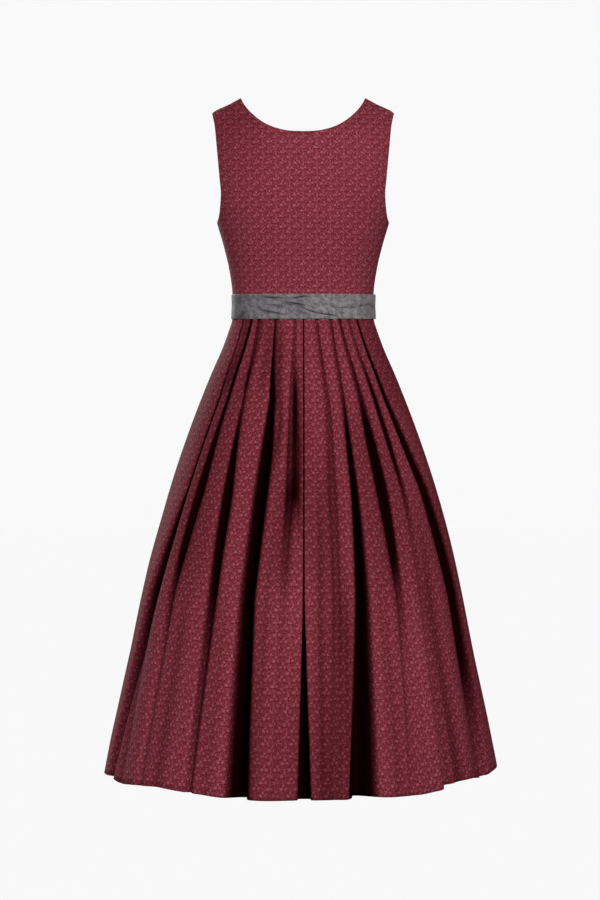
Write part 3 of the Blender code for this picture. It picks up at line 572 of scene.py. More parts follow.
# faces: 1 if the folded edge faces +X, -1 if it faces -X, 0 for a box pleat. places: degrees from the centre
# at the stations. lean: how far the cloth goes under at the waist. mouths and depths: millimetres.
# shades: how much shade is painted in the fold at each of the shade stations
Pleat = namedtuple("Pleat", "faces places lean open_z mouths depths shades", defaults=((0.6,) * 9,))
BACK_PLEATS = [
    Pleat(1, (-59.0, -56.0, -60.5, -73.5, -80.0), 0.012, -0.800, (6, 9, 40, 34), (10, 14, 26, 12),
          (0.3, 0.3, 0.5, 0.6, 0.8, 0.95, 0.95, 0.75, 0.25)),
    Pleat(1, (-47.5, -48.2, -52.8, -56.6, -57.0), 0.009, -0.720, (8, 20, 18, 24), (8, 22, 16, 5),
          (1.0, 0.95, 0.7, 0.8, 0.95, 0.95, 0.70, 0.15, 0.0)),
    Pleat(1, (-40.0, -36.0, -36.3, -35.9, -35.4), 0.009, -0.760, (8, 20, 18, 13), (12, 24, 24, 14),
          (0.5, 0.3, 0.4, 0.8, 0.95, 0.95, 0.90, 0.60, 0.25)),
    Pleat(1, (-23.5, -19.2, -21.3, -22.8, -22.4), 0.014, -0.660, (16, 23, 25, 37), (26, 50, 58, 64),
          (0.6, 0.8, 0.9, 1.0, 1.0, 1.0, 1.0, 1.0, 1.0)),
    Pleat(1, (-7.4, -7.8, -7.4, -8.5, -10.0), 0.006, -0.560, (10, 15, 12, 10), (6, 9, 4, 1),
          (0.3, 0.35, 0.4, 0.6, 0.55, 0.25, 0.1, 0.05, 0.05)),
    Pleat(0, (0.4, 0.4, 0.3, 0.2, 0.3), 0.006, HEM_Z, (1, 1, 4, 23), (6, 10, 16, 48),
          (0.75, 0.75, 0.8, 0.9, 1.0, 1.0, 0.9, 1.0, 1.0)),
    Pleat(-1, (12.0, 14.8, 14.5, 13.5, 11.0), 0.008, -0.720, (10, 17, 17, 24), (6, 8, 8, 6),
          (0.4, 0.5, 0.45, 0.4, 0.38, 0.32, 0.35, 0.3, 0.3)),
    Pleat(-1, (24.0, 23.9, 23.9, 23.9, 21.2), 0.008, -0.660, (8, 11, 23, 44), (11, 26, 48, 64),
          (0.5, 0.5, 0.5, 0.8, 1.0, 1.0, 1.0, 1.0, 1.0)),
    Pleat(-1, (32.0, 36.5, 38.8, 37.6, 35.0), 0.008, -0.620, (13, 21, 14, 24), (18, 22, 7, 3),
          (0.6, 0.45, 0.6, 1.0, 1.0, 0.9, 0.5, 0.2, 0.1)),
    Pleat(-1, (41.0, 46.3, 49.2, 49.5, 48.0), 0.009, -0.620, (10, 9, 18, 24), (12, 8, 8, 16),
          (0.1, 0.3, 0.9, 1.0, 0.6, 0.2, 0.05, 0.0, 0.05)),
    Pleat(-1, (51.0, 56.0, 70.0, 76.0, 68.0), 0.010, -0.640, (13, 31, 48, 30), (17, 26, 26, 12),
          (0.6, 0.7, 0.9, 1.0, 1.0, 1.0, 1.0, 0.75, 0.15)),
]
FRONT_PLEATS = [
    Pleat(1, (-62.0, -60.0, -61.0, -63.0, -64.0), 0.010, -0.780, (10, 16, 24, 34), (8, 14, 18, 12)),
    Pleat(1, (-48.0, -46.0, -47.0, -48.0, -48.0), 0.011, -0.720, (9, 14, 20, 26), (12, 20, 26, 30)),
    Pleat(1, (-33.0, -31.0, -30.0, -31.0, -32.0), 0.009, -0.760, (8, 12, 20, 32), (6, 10, 12, 8)),
    Pleat(1, (-17.0, -16.0, -15.5, -16.0, -17.0), 0.011, -0.700, (9, 16, 20, 24), (14, 24, 30, 34)),
    Pleat(0, (0.0, 0.0, 0.0, 0.0, 0.0), 0.007, -0.900, (3, 8, 14, 18), (6, 10, 20, 30)),
    Pleat(-1, (15.0, 15.5, 16.5, 17.0, 18.0), 0.010, -0.740, (8, 12, 18, 28), (8, 12, 16, 12)),
    Pleat(-1, (31.0, 30.0, 31.0, 33.0, 33.0), 0.011, -0.690, (10, 16, 20, 26), (14, 24, 30, 36)),
    Pleat(-1, (47.0, 46.0, 47.0, 47.0, 49.0), 0.009, -0.800, (8, 12, 22, 34), (6, 10, 14, 10)),
    Pleat(-1, (60.0, 61.0, 62.0, 65.0, 66.0), 0.010, -0.760, (10, 16, 26, 36), (8, 14, 20, 16)),
]
print("pleats behind:", len(BACK_PLEATS), "and in front:", len(FRONT_PLEATS))

# %% [markdown]
# Cut across, a pressed knife pleat is three layers of cloth lying on each other, and one that has fallen open
# is a trough. Both are drawn here with the same number of control points, so the pleat can open by moving
# from one drawing to the other. A box pleat is drawn as one half, and mirrored.

# %% Cross-sections of one pleat: pressed flat, and fallen open
LAYER = 0.0023
TURN = 0.0012
FORM_WALL = 0.0012


def pressed_knife(lean):
    return [(-5 * TURN, 0.0), (-TURN, 0.05 * LAYER), (0.0, 0.5 * LAYER), (-TURN, LAYER),
            (TURN - lean, LAYER), (-lean, 1.5 * LAYER), (TURN - lean, 2 * LAYER),
            (-0.5 * TURN, 2 * LAYER), (2 * TURN, 1.9 * LAYER), (5 * TURN, 0.3 * LAYER)]


def open_knife(mouth, depth):
    return [(-0.25 * mouth - 0.004, 0.0), (-0.08 * mouth - 0.0015, 0.03 * depth), (0.0, 0.16 * depth),
            (0.10 * mouth, 0.42 * depth), (0.30 * mouth, 0.88 * depth), (0.50 * mouth, depth),
            (0.70 * mouth, 0.88 * depth), (0.90 * mouth, 0.42 * depth), (mouth, 0.16 * depth),
            (1.10 * mouth + 0.003, 0.02 * depth)]


def pressed_box(lean):
    edge = -FORM_WALL
    return [(edge - 5 * TURN, 0.0), (edge - TURN, 0.05 * LAYER), (edge, 0.5 * LAYER),
            (edge - TURN, LAYER), (edge + TURN - lean, LAYER), (edge - lean, 1.5 * LAYER),
            (edge + TURN - lean, 2 * LAYER)]


def open_box(mouth, depth):
    return [(-0.75 * mouth - 0.004, 0.0), (-0.60 * mouth - 0.001, 0.03 * depth),
            (-0.50 * mouth, 0.12 * depth), (-0.52 * mouth, 0.40 * depth), (-0.60 * mouth, 0.80 * depth),
            (-0.48 * mouth, 0.95 * depth), (-0.25 * mouth, depth)]


print("control points of a knife pleat:", len(open_knife(0.02, 0.02)))

# %% One pleat at one height
KNIFE_SHADE = (0.0, 0.0, 0.60, 1.0, 1.0, 1.0, 1.0, 1.0, 0.95, 0.35)
BOX_SHADE = (0.0, 0.0, 0.40, 1.0, 1.0, 1.0, 1.0)


def pleat_shade(pleat, strength):
    """How much shade is painted at each control point of the pleat, down in its fold"""
    if pleat.faces == 0:
        return strength * np.array(BOX_SHADE + (1.0,) + BOX_SHADE[::-1])
    return strength * np.array(KNIFE_SHADE[::pleat.faces])


def pleat_line(pleat, girth):
    """(arc, depth) control points of the cloth through one pleat, at the height of the girth"""
    drops = [-station for station in STATIONS]
    edge = girth.arc(np.interp(-girth.z, drops, pleat.places))
    mouth = 0.001 * np.interp(-girth.z, drops[1:], pleat.mouths)
    depth = 0.001 * np.interp(-girth.z, drops[1:], pleat.depths)
    opened = ease((STATIONS[0] - girth.z) / (STATIONS[0] - pleat.open_z))
    pressed, fallen = (pressed_knife, open_knife) if pleat.faces else (pressed_box, open_box)
    line = (1 - opened) * np.array(pressed(pleat.lean)) + opened * np.array(fallen(mouth, depth))
    if pleat.faces == 0:
        middle = [(0.0, line[-1][1])]
        line = np.concatenate([line, middle, line[::-1] * (-1, 1)])
    elif pleat.faces < 0:
        line = line[::-1] * (-1, 1)
    return line + (edge, 0.0)


sample = pleat_line(BACK_PLEATS[3], half_girth(-0.9, BACK))
print("trough of the deep pleat at 0.9 m below the shoulder, in metres:", round(float(sample[:, 1].max()), 3))

# %% [markdown]
# Between its pleats the cloth isn't flat either. Soft ridges and hollows run down the panels, and so do broad
# shades where little light comes. Each is a row in a table too: its path down the skirt, its width, its
# height and how dark the cloth lies in it. It swells and dies out along its path, so one that is still
# strong at the hem has a path that ends below it.

# %% Soft ridges and hollows of the hanging panels
# path: (height, degrees) down the ridge; width and height in metres, a hollow where the height is negative,
# and how much shade is painted on the cloth in it
Ridge = namedtuple("Ridge", "path width height shade")
SIDE_RIDGES = [
    Ridge(((-0.980, -89.0), (-1.600, -89.0)), 0.050, 0.0065, 0.0),
    Ridge(((-0.740, -89.0), (-1.120, -89.0)), 0.050, 0.0024, 0.0),
    Ridge(((-0.760, 89.0), (-1.700, 89.0)), 0.050, -0.0026, 0.0),
]
BACK_RIDGES = SIDE_RIDGES + [
    Ridge(((-0.340, -90.0), (-1.180, -90.0)), 0.040, 0.0, 0.40),
    Ridge(((-0.340, 90.0), (-1.120, 90.0)), 0.034, 0.0, 0.36),
    Ridge(((-0.400, -52.0), (-0.940, -46.0)), 0.055, 0.0, 0.26),
    Ridge(((-0.540, -14.0), (-0.880, -13.0)), 0.024, 0.0, 0.12),
    Ridge(((-0.860, 0.0), (-1.900, 0.0)), 0.085, 0.0, 0.26),
    Ridge(((-0.600, 13.0), (-1.060, 14.0)), 0.045, 0.0, 0.09),
    Ridge(((-0.500, 29.0), (-0.960, 33.0)), 0.040, 0.0, 0.24),
    Ridge(((-0.340, 58.0), (-0.600, 62.0)), 0.045, 0.0, 0.18),
    Ridge(((-0.640, 66.0), (-1.180, 68.0)), 0.045, 0.0, 0.26),
    Ridge(((-0.940, 48.0), (-1.900, 48.0)), 0.130, 0.0, 0.12),
    Ridge(((-0.340, -51.5), (-0.450, -50.0), (-0.560, -53.0)), 0.011, 0.0, 0.40),
    Ridge(((-0.350, -27.5), (-0.450, -25.0), (-0.560, -24.0)), 0.008, 0.0, 0.30),
    Ridge(((-0.520, 0.5), (-0.700, 2.0), (-0.900, 3.0)), 0.012, 0.0, 0.16),
    Ridge(((-0.560, 42.0), (-0.720, 44.0), (-0.960, 44.0)), 0.016, 0.0, 0.16),
    Ridge(((-0.650, 49.0), (-0.900, 43.0), (-1.400, 42.5)), 0.012, 0.0035, 0.0),
    Ridge(((-0.700, 55.0), (-0.900, 51.0), (-1.400, 50.5)), 0.014, -0.0045, 0.45),
    Ridge(((-0.560, 7.5), (-0.900, 6.0), (-1.400, 5.0)), 0.009, -0.0022, 0.40),
    Ridge(((-0.340, -37.5), (-0.420, -35.0), (-0.480, -35.5), (-0.560, -38.0)), 0.007, -0.0012, 0.40),
    Ridge(((-0.360, -19.0), (-0.500, -14.5), (-0.580, -11.5), (-0.700, -13.5)), 0.006, 0.0, 0.50),
    Ridge(((-0.440, -4.5), (-0.540, -3.6), (-0.620, -2.4), (-0.800, -1.9)), 0.0065, -0.0015, 0.70),
    Ridge(((-0.640, -6.5), (-0.760, -6.5), (-0.900, -7.5)), 0.020, 0.0, 0.28),
    Ridge(((-0.780, 15.5), (-1.400, 12.0)), 0.010, -0.0020, 0.45),
    Ridge(((-0.720, -12.5), (-1.400, -15.5)), 0.010, -0.0030, 0.30),
    Ridge(((-0.800, -46.0), (-1.400, -47.5)), 0.012, -0.0035, 0.30),
    Ridge(((-0.850, -66.0), (-1.400, -67.0)), 0.012, -0.0035, 0.30),
    Ridge(((-0.800, -29.0), (-1.400, -29.5)), 0.012, -0.0025, 0.22),
    Ridge(((-0.800, 29.0), (-1.400, 28.0)), 0.012, -0.0025, 0.25),
    Ridge(((-0.850, 66.0), (-1.400, 57.0)), 0.013, -0.0030, 0.25),
]
FRONT_RIDGES = SIDE_RIDGES + [
    Ridge(((-0.700, -55.0), (-1.400, -56.0)), 0.014, -0.0040, 0.30),
    Ridge(((-0.650, -39.0), (-1.400, -40.0)), 0.012, 0.0030, 0.0),
    Ridge(((-0.700, -8.0), (-1.400, -9.0)), 0.013, -0.0035, 0.30),
    Ridge(((-0.760, 8.0), (-1.400, 8.5)), 0.012, 0.0030, 0.0),
    Ridge(((-0.700, 24.0), (-1.400, 25.0)), 0.013, -0.0035, 0.30),
    Ridge(((-0.650, 40.0), (-1.400, 41.0)), 0.012, 0.0035, 0.0),
    Ridge(((-0.720, 54.0), (-1.400, 56.0)), 0.014, -0.0045, 0.30),
]
RIDGE_ENDS = 0.3


def ridge_lift(ridges, girth, arcs):
    """How far the ridges lift the cloth along one level, and how much shade is painted there"""
    lift = np.zeros(len(arcs))
    dark = np.zeros(len(arcs))
    for ridge in ridges:
        drops = [-height for height, _ in ridge.path]
        share = (-girth.z - drops[0]) / (drops[-1] - drops[0])
        if 0 < share < 1:
            centre = girth.arc(np.interp(-girth.z, drops, [degrees for _, degrees in ridge.path]))
            strength = ease(min(share, 1 - share) / RIDGE_ENDS)
            swell = strength * np.exp(-((arcs - centre) / ridge.width) ** 2)
            lift += ridge.height * swell
            dark += ridge.shade * swell
    return lift, dark


print("ridges behind:", len(BACK_RIDGES), "and in front:", len(FRONT_RIDGES))

# %% [markdown]
# A level of the skirt is one long line: panel, pleat, panel, pleat. Its corners are rounded with a quadratic
# curve, three samples at each control point of a pleat and two on the flat panels. Each panel keeps its own
# cloth coordinates, counted from its middle, so the sprigs run straight down every panel. They change from
# one panel's to the next one's deep inside the fold, where nobody sees it.

# %% One level of the skirt
PANEL_POINTS = 5
FOLD_SAMPLES = 3
PANEL_SAMPLES = 2
# in the control points of a pleat: where the coordinates change, and the middle of a box pleat's own panel
FOLD_BREAK = 5
BOX_MIDDLE = 7
BOX_SECOND_BREAK = 9
# the panels lie between the pleats' edges and see less of the light, most of all where those are close
PANEL_SHADE = smooth_curve([WAIST_SEAM_Z, -0.500, -0.700, -0.900, HEM_Z], [0.13, 0.15, 0.14, 0.05, 0.03])
Level = namedtuple("Level", "points middles breaks shade room")


def skirt_controls(girth, pleats):
    """Control points (arc, depth, shade), samples at each, the panels' middles and breaks, narrowest panel"""
    last = girth.arcs[-1] - 0.5 * SIDE_SEAM
    drops = [-station for station in SHADE_STATIONS]
    room = 1.0
    controls = [(0.5 * SIDE_SEAM, 0.0, 0.0)]
    samples = []
    middles = []
    breaks = []
    for pleat in pleats + [None]:
        line = [(last, 0.0, 0.0)]
        if pleat is not None:
            shade = pleat_shade(pleat, np.interp(-girth.z, drops, pleat.shades))
            line = np.column_stack([pleat_line(pleat, girth), shade]).tolist()
        start = controls[-1][0]
        room = min(room, line[0][0] - start)
        for i in range(PANEL_POINTS):
            controls.append((start + (line[0][0] - start) * (i + 1) / (PANEL_POINTS + 1), 0.0, 0.0))
        middles.append(len(samples) + PANEL_POINTS // 2)
        samples += [PANEL_SAMPLES] * PANEL_POINTS
        if pleat is not None:
            breaks.append(len(samples) + FOLD_BREAK)
            if pleat.faces == 0:
                middles.append(len(samples) + BOX_MIDDLE)
                breaks.append(len(samples) + BOX_SECOND_BREAK)
            samples += [FOLD_SAMPLES] * len(line)
        controls += line
    return np.array(controls), samples, middles, breaks, room


def skirt_level(z, side, pleats, ridges):
    """One level of cloth, with a quadratic curve round each corner of its control line"""
    girth = HalfGirth(z, side, -0.5 * FORM_WALL)
    controls, samples, middles, breaks, room = skirt_controls(girth, pleats)
    firsts = 0.5 * (controls[:-2] + controls[1:-1])
    lasts = 0.5 * (controls[1:-1] + controls[2:])
    firsts[0] = controls[0]
    lasts[-1] = controls[-1]
    corner = np.repeat(np.arange(len(samples)), samples)
    starts = np.cumsum([0] + samples[:-1])
    t = ((np.arange(len(corner)) - starts[corner]) / np.array(samples)[corner])[:, None]
    line = (1 - t) ** 2 * firsts[corner] + 2 * t * (1 - t) * controls[1:-1][corner] + t ** 2 * lasts[corner]
    line = np.concatenate([line, controls[-1:]])
    lift, dark = ridge_lift(ridges, girth, line[:, 0])
    shade = np.minimum(PANEL_SHADE(z) + line[:, 2] + dark, 1.0)
    points = girth.place(line[:, 0], line[:, 1] - lift)
    return Level(points, starts[middles], starts[breaks], shade, room)


print("samples across the back skirt:", len(skirt_level(HEM_Z, BACK, BACK_PLEATS, BACK_RIDGES).points))

# %% [markdown]
# A hem never hangs quite level. Where a pleat has opened, its edge drops a few millimetres, and the cloth
# deep in a fold hangs lower than the cloth over it. The lowest part of the net is let down by such a curve.

# %% Let the hem down
# how far the hem hangs below its level, in metres, at degrees from the centre
HEM_DIP = {
    BACK: smooth_curve(
        [-90, -76, -67, -60, -54, -46, -40, -32, -24, -12, 0, 12, 18, 27, 34, 42, 50, 57, 64, 75, 90],
        [0.0060, 0.0035, 0.0070, 0.0040, 0.0015, -0.0010, 0.0005, 0.0028, 0.0060, 0.0085, 0.0065,
         0.0065, 0.0035, 0.0062, 0.0060, 0.0020, -0.0075, -0.0090, -0.0060, -0.0100, -0.0100]),
    FRONT: smooth_curve(
        [-90, -70, -30, 0, 35, 70, 90],
        [0.006, 0.001, 0.004, 0.002, 0.005, -0.004, -0.010]),
}
DEEP_DIP = 0.11
DEEPEST = 0.3
HEM_DIP_FROM_Z = -0.950


def let_down(net, side, heights):
    """The lower part of the skirt hangs a little longer or shorter from place to place"""
    share = ease((HEM_DIP_FROM_Z - heights) / (HEM_DIP_FROM_Z - HEM_Z))[:, None]
    x, y, z = net[..., 0], net[..., 1], net[..., 2]
    degrees = np.degrees(np.arctan2(x / half_width(HEM_Z), np.abs(y) / depth_of[side](HEM_Z)))
    under = np.hypot(x / half_width(z), y / depth_of[side](z))
    deep = np.clip(1.0 - under, 0.0, DEEPEST) * depth_of[side](HEM_Z)
    net[..., 2] -= share * (HEM_DIP[side](degrees) + DEEP_DIP * deep)
    return net


print("the middle of the back hem hangs lower by", float(HEM_DIP[BACK](0.0)), "metres")

# %% The nets of the skirt's two panels
SKIRT_TOP_Z = WAIST_SEAM_Z - SEAM_GAP
SKIRT_ROWS = 88
SKIRT_CROWDING = 1.15


def row_heights(top, bottom, rows, crowding):
    """Heights of a net's rows, which lie closer together near the top"""
    return top + (bottom - top) * np.linspace(0.0, 1.0, rows) ** crowding


def skirt_net(side, pleats, ridges, heights):
    """The net of one panel, its shade, and the middles and breaks of the flats between its pleats"""
    levels = [skirt_level(z, side, pleats, ridges) for z in heights]
    net = let_down(np.array([level.points for level in levels]), side, heights)
    tightest = min(levels, key=lambda level: level.room)
    print("narrowest flat in mm:", round(1000 * tightest.room, 2), "at", round(tightest.points[0][2], 3))
    return net, np.array([level.shade for level in levels]), levels[0].middles, levels[0].breaks


def panel_coordinates(net, middles, breaks):
    """Cloth coordinates that start again at the middle of each panel, inside the folds"""
    lengths = np.zeros(net.shape[:2])
    lengths[:, 1:] = np.cumsum(np.linalg.norm(np.diff(net, axis=1), axis=2), axis=1)
    panel = np.searchsorted(breaks, np.arange(net.shape[1] - 1), side="right")
    origin = lengths[:, middles][:, panel]
    steps = np.linalg.norm(np.diff(net[:, middles], axis=0), axis=2)
    down = np.concatenate([np.zeros((1, len(middles))), -np.cumsum(steps, axis=0)])[:, panel]
    return (lengths[:, :-1] - origin, lengths[:, 1:] - origin), (down[:-1], down[1:])


heights = row_heights(SKIRT_TOP_Z, HEM_Z, SKIRT_ROWS, SKIRT_CROWDING)
back_net, back_shade, back_middles, back_breaks = skirt_net(BACK, BACK_PLEATS, BACK_RIDGES, heights)
front_net, front_shade, front_middles, front_breaks = skirt_net(FRONT, FRONT_PLEATS, FRONT_RIDGES, heights)
hem_width = np.linalg.norm(np.diff(back_net[-1], axis=0), axis=1).sum()
print("hem of the back skirt, measured along its folds, in metres:", round(float(hem_width), 2))

# %% [markdown]
# A sewn hem is cloth turned up inside. The net is continued round the lower edge and 20 mm up the inside, a
# cloth's thickness in, so the edge looks rounded and double from below.

# %% Turn the hem up
HEM_TURN = 0.020
HEM_LAYER = 0.0013
HEM_EDGE = 0.0004
TURNED_ROWS = 3


def outward_of(net):
    """Unit normals of a net, pointing out of the dress"""
    right = np.gradient(net, axis=1)
    down = np.gradient(net, axis=0)
    normal = np.cross(down, right)
    return normal / np.maximum(np.linalg.norm(normal, axis=2), 1e-9)[:, :, None]


def turned_up(net):
    """The net with its turned hem: the rounded edge, the inside of the edge and the top of the hem"""
    normal = outward_of(net)[-1]
    down = net[-1] - net[-2]
    down /= np.linalg.norm(down, axis=1)[:, None]
    edge = net[-1] + HEM_EDGE * down - 0.5 * HEM_LAYER * normal
    inside = net[-1] - HEM_LAYER * normal
    top = inside - HEM_TURN * down
    return np.concatenate([net, [edge, inside, top]])


def turned_shade(shade):
    """The turned rows get the same painted shade as the edge"""
    return np.concatenate([shade, np.repeat(shade[-1:], TURNED_ROWS, axis=0)])


def skirt_piece(node, net, shade, middles, breaks):
    hemmed = turned_up(net)
    across, along = panel_coordinates(hemmed, middles, breaks)
    made = cloth_object(node + "_cloth", hemmed, across, along, skirt_cotton, shade=turned_shade(shade),
                        inside=skirt_wrong_side)
    print("square metres of cloth, without the hem:", round(net_area(net), 3))
    return dressed(made, node)


skirt_back = skirt_piece("skirt_back", back_net, back_shade, back_middles, back_breaks)
# the front's arc runs the other way seen from outside, so its net is turned over left to right
front_net = front_net[:, ::-1]
front_shade = front_shade[:, ::-1]
last_column = front_net.shape[1] - 1
skirt_front = skirt_piece("skirt_front", front_net, front_shade, (last_column - front_middles)[::-1],
                          (last_column - front_breaks)[::-1])

# %% [markdown]
# ## The bodice
# The bodice back is one panel with a shallow scoop at the neck; the front is two panels that button down the
# centre. A pattern is drafted from its edges, and so is this one: the neck and the armhole are smooth curves
# through a few measured points, laid onto the form.

# %% Edges of the bodice
NECK_SAMPLES = 300
ARMHOLE_SAMPLES = 200
# columns: height, edge of the back, edge of the front
ARMHOLE = np.array([
    (-SHOULDER_DROP, 0.1630, 0.1630),
    (-0.055, 0.1574, 0.1560),
    (-0.094, 0.1532, 0.1480),
    (-0.148, 0.1482, 0.1420),
    (-0.176, 0.1459, 0.1410),
    (-0.203, 0.1480, 0.1440),
    (-0.217, 0.1505, 0.1485),
    (ARMPIT_Z, 0.1543, 0.1543),
])
armhole_edge = {
    BACK: smooth_curve(ARMHOLE[:, 0], ARMHOLE[:, 1]),
    FRONT: smooth_curve(ARMHOLE[:, 0], ARMHOLE[:, 2]),
}
# columns: distance from the centre line, drop from the neck point
NECK_EDGE = {
    BACK: np.array([(NECK_POINT_X, 0.0), (0.1067, 0.0102), (0.0994, 0.0218), (0.0900, 0.0328),
                    (0.0775, 0.0446), (0.0625, 0.0548), (0.0435, 0.0624), (0.0222, 0.0667),
                    (0.0, BACK_NECK_DROP)]),
    FRONT: np.array([(NECK_POINT_X, 0.0), (0.1110, 0.0220), (0.1095, 0.0560), (0.1040, 0.0920),
                     (0.0900, 0.1230), (0.0650, 0.1470), (0.0350, 0.1600), (0.0, FRONT_NECK_DROP)]),
}


def form_points(x, z, side):
    x, z = np.broadcast_arrays(np.asarray(x, float), np.asarray(z, float))
    power = oval_power(z)
    across = np.minimum(np.abs(x) / half_width(z), 1.0)
    y = side * np.maximum(depth_of[side](z) * (1.0 - across ** power) ** (1.0 / power), 0.5 * SIDE_SEAM)
    return np.stack([x, y, z], axis=-1)


def onto_form(points, side):
    x, y, z = points[..., 0], points[..., 1], points[..., 2]
    power = oval_power(z)
    across = np.abs(x) / half_width(z)
    deep = np.abs(y) / depth_of[side](z)
    reach = (across ** power + deep ** power) ** (1.0 / power)
    return np.stack([x / reach, y / reach, z], axis=-1)


def rounded_path(corners):
    """Close points on a smooth curve through the corners of an edge"""
    share = np.linspace(0.0, 1.0, len(corners))
    fine = np.linspace(0.0, 1.0, NECK_SAMPLES)
    return np.stack([smooth_curve(share, corners[:, k])(fine) for k in range(corners.shape[1])], axis=1)


def evenly(points, count):
    lengths = np.concatenate([[0.0], np.cumsum(np.linalg.norm(np.diff(points, axis=0), axis=1))])
    at = np.linspace(0.0, lengths[-1], count)
    return np.stack([np.interp(at, lengths, points[:, k]) for k in range(3)], axis=1)


def neck_path(side, count):
    across, drop = rounded_path(NECK_EDGE[side]).T
    return evenly(form_points(across, -drop, side), count)


def armhole_path(side, count):
    z = np.linspace(ARMPIT_Z, -SHOULDER_DROP, ARMHOLE_SAMPLES)
    return evenly(form_points(armhole_edge[side](z), z, side), count)


half_neck = neck_path(BACK, 60)
print("neck edge of the back, half of it, in metres:",
      round(float(np.linalg.norm(np.diff(half_neck, axis=0), axis=1).sum()), 3))

# %% [markdown]
# Half a panel has four sides: centre line and neck edge, shoulder seam, armhole and side seam, and waist. A
# Coons patch fills such a frame, each of its points is pushed level onto the form, and the net is relaxed:
# every point moves to the middle of its neighbours until rows and columns run evenly.

# %% Fill half a panel
BODICE_COLUMNS = 56
BODICE_ROWS = 110
RELAX_ROUNDS = 60
# how far up the rows the neck's lowest point and the armpit come
NECK_SHARE = {BACK: 0.61, FRONT: 0.45}
ARMPIT_SHARE = 0.36


def relaxed(net, side):
    """Evens the inside of a net out, so that no rows cross near the corner under the arm"""
    for _ in range(RELAX_ROUNDS):
        right = 0.5 * (net[1:-1, 2:] - net[1:-1, :-2])
        up = 0.5 * (net[2:, 1:-1] - net[:-2, 1:-1])
        twist = 0.25 * (net[2:, 2:] - net[2:, :-2] - net[:-2, 2:] + net[:-2, :-2])
        tall = np.sum(up ** 2, axis=-1, keepdims=True)
        slant = np.sum(right * up, axis=-1, keepdims=True)
        wide = np.sum(right ** 2, axis=-1, keepdims=True)
        moved = tall * (net[1:-1, 2:] + net[1:-1, :-2]) + wide * (net[2:, 1:-1] + net[:-2, 1:-1])
        net[1:-1, 1:-1] = onto_form((moved - 2 * slant * twist) / (2 * (tall + wide)), side)
    return net


def bodice_half(side, centre_x):
    """Rows of the +X half of a panel, from the waist up"""
    corner = round(NECK_SHARE[side] * (BODICE_ROWS - 1))
    neck_z = -NECK_EDGE[side][-1, 1]
    centre = form_points(centre_x, np.linspace(WAIST_SEAM_Z, neck_z, corner + 1), side)
    inner = np.concatenate([centre, neck_path(side, BODICE_ROWS - corner)[-2::-1]])
    armpit = round(ARMPIT_SHARE * (BODICE_ROWS - 1))
    seam_z = np.linspace(WAIST_SEAM_Z, ARMPIT_Z, armpit + 1)
    seam = form_points(half_width(seam_z), seam_z, side)
    outer = np.concatenate([seam, armhole_path(side, BODICE_ROWS - armpit)[1:]])
    ridge_z = np.linspace(0.0, -SHOULDER_DROP, BODICE_COLUMNS)
    top = form_points(half_width(ridge_z), ridge_z, side)
    waist = half_girth(WAIST_SEAM_Z, side)
    arcs = np.linspace(waist.arc(0.0), waist.arcs[-1] - 0.5 * SIDE_SEAM, BODICE_COLUMNS)
    bottom = waist.place(arcs)
    bottom[0], bottom[-1] = inner[0], outer[0]
    top[0], top[-1] = inner[-1], outer[-1]
    u = np.linspace(0.0, 1.0, BODICE_COLUMNS)[None, :, None]
    v = np.linspace(0.0, 1.0, BODICE_ROWS)[:, None, None]
    patch = (1 - v) * bottom[None] + v * top[None] + (1 - u) * inner[:, None] + u * outer[:, None]
    patch = patch - ((1 - u) * (1 - v) * bottom[0] + u * (1 - v) * bottom[-1]
                     + (1 - u) * v * top[0] + u * v * top[-1])
    return relaxed(onto_form(patch, side), side)


half_back = bodice_half(BACK, 0.0)
half_front = bodice_half(FRONT, 0.5 * SEAM_GAP)
print("rows and columns of half a panel:", half_back.shape[:2])

# %% [markdown]
# On the body a bodice is never quite smooth: the cloth stands off a little over the shoulder blades, sinks
# between them, and buckles above the tied band. Each of these is a soft swelling or hollow at a place on the
# panel, a few tenths of a millimetre to two millimetres deep, added along the cloth's own normal.

# %% Swellings and hollows of the bodice back
# x, z: the middle; leaning: sideways shift for each metre up; half_wide, half_tall and height in metres
Swelling = namedtuple("Swelling", "x z leaning half_wide half_tall height")
BACK_SWELLINGS = [
    Swelling(-0.066, -0.176, 0.0, 0.010, 0.040, 0.0009),
    Swelling(0.080, -0.152, 0.0, 0.011, 0.034, 0.0012),
    Swelling(0.055, -0.158, 0.0, 0.010, 0.030, -0.0012),
    Swelling(-0.023, -0.315, 0.0, 0.003, 0.034, -0.0004),
    Swelling(0.004, -0.347, 0.0, 0.011, 0.006, -0.0022),
    Swelling(-0.090, -0.330, 0.3, 0.014, 0.030, -0.0010),
    Swelling(0.096, -0.322, -0.3, 0.013, 0.030, -0.0009),
]
FRONT_SWELLINGS = [
    Swelling(0.070, -0.250, 0.5, 0.012, 0.050, 0.0012),
    Swelling(-0.072, -0.255, -0.4, 0.013, 0.050, 0.0011),
    Swelling(0.040, -0.335, 0.6, 0.012, 0.016, -0.0012),
    Swelling(-0.046, -0.332, -0.7, 0.012, 0.018, -0.0012),
]
# where the bodice turns from the light: here height is how much darker it is
DIM_PLACES = [
    Swelling(-0.125, -0.060, 0.0, 0.060, 0.080, 0.22),
    Swelling(-0.158, -0.150, 0.0, 0.014, 0.090, 0.12),
    Swelling(0.158, -0.150, 0.0, 0.012, 0.090, 0.10),
    Swelling(0.000, -0.200, 0.0, 0.200, 0.300, 0.04),
]
SHOULDER_SETTLES = 0.0021
SETTLES_FROM_Z = -0.070


def settled(points):
    """The cloth over the shoulders has settled by two millimetres"""
    drop = SHOULDER_SETTLES * ease((points[..., 2] - SETTLES_FROM_Z) / -SETTLES_FROM_Z)
    return points - drop[..., None] * (0.0, 0.0, 1.0)


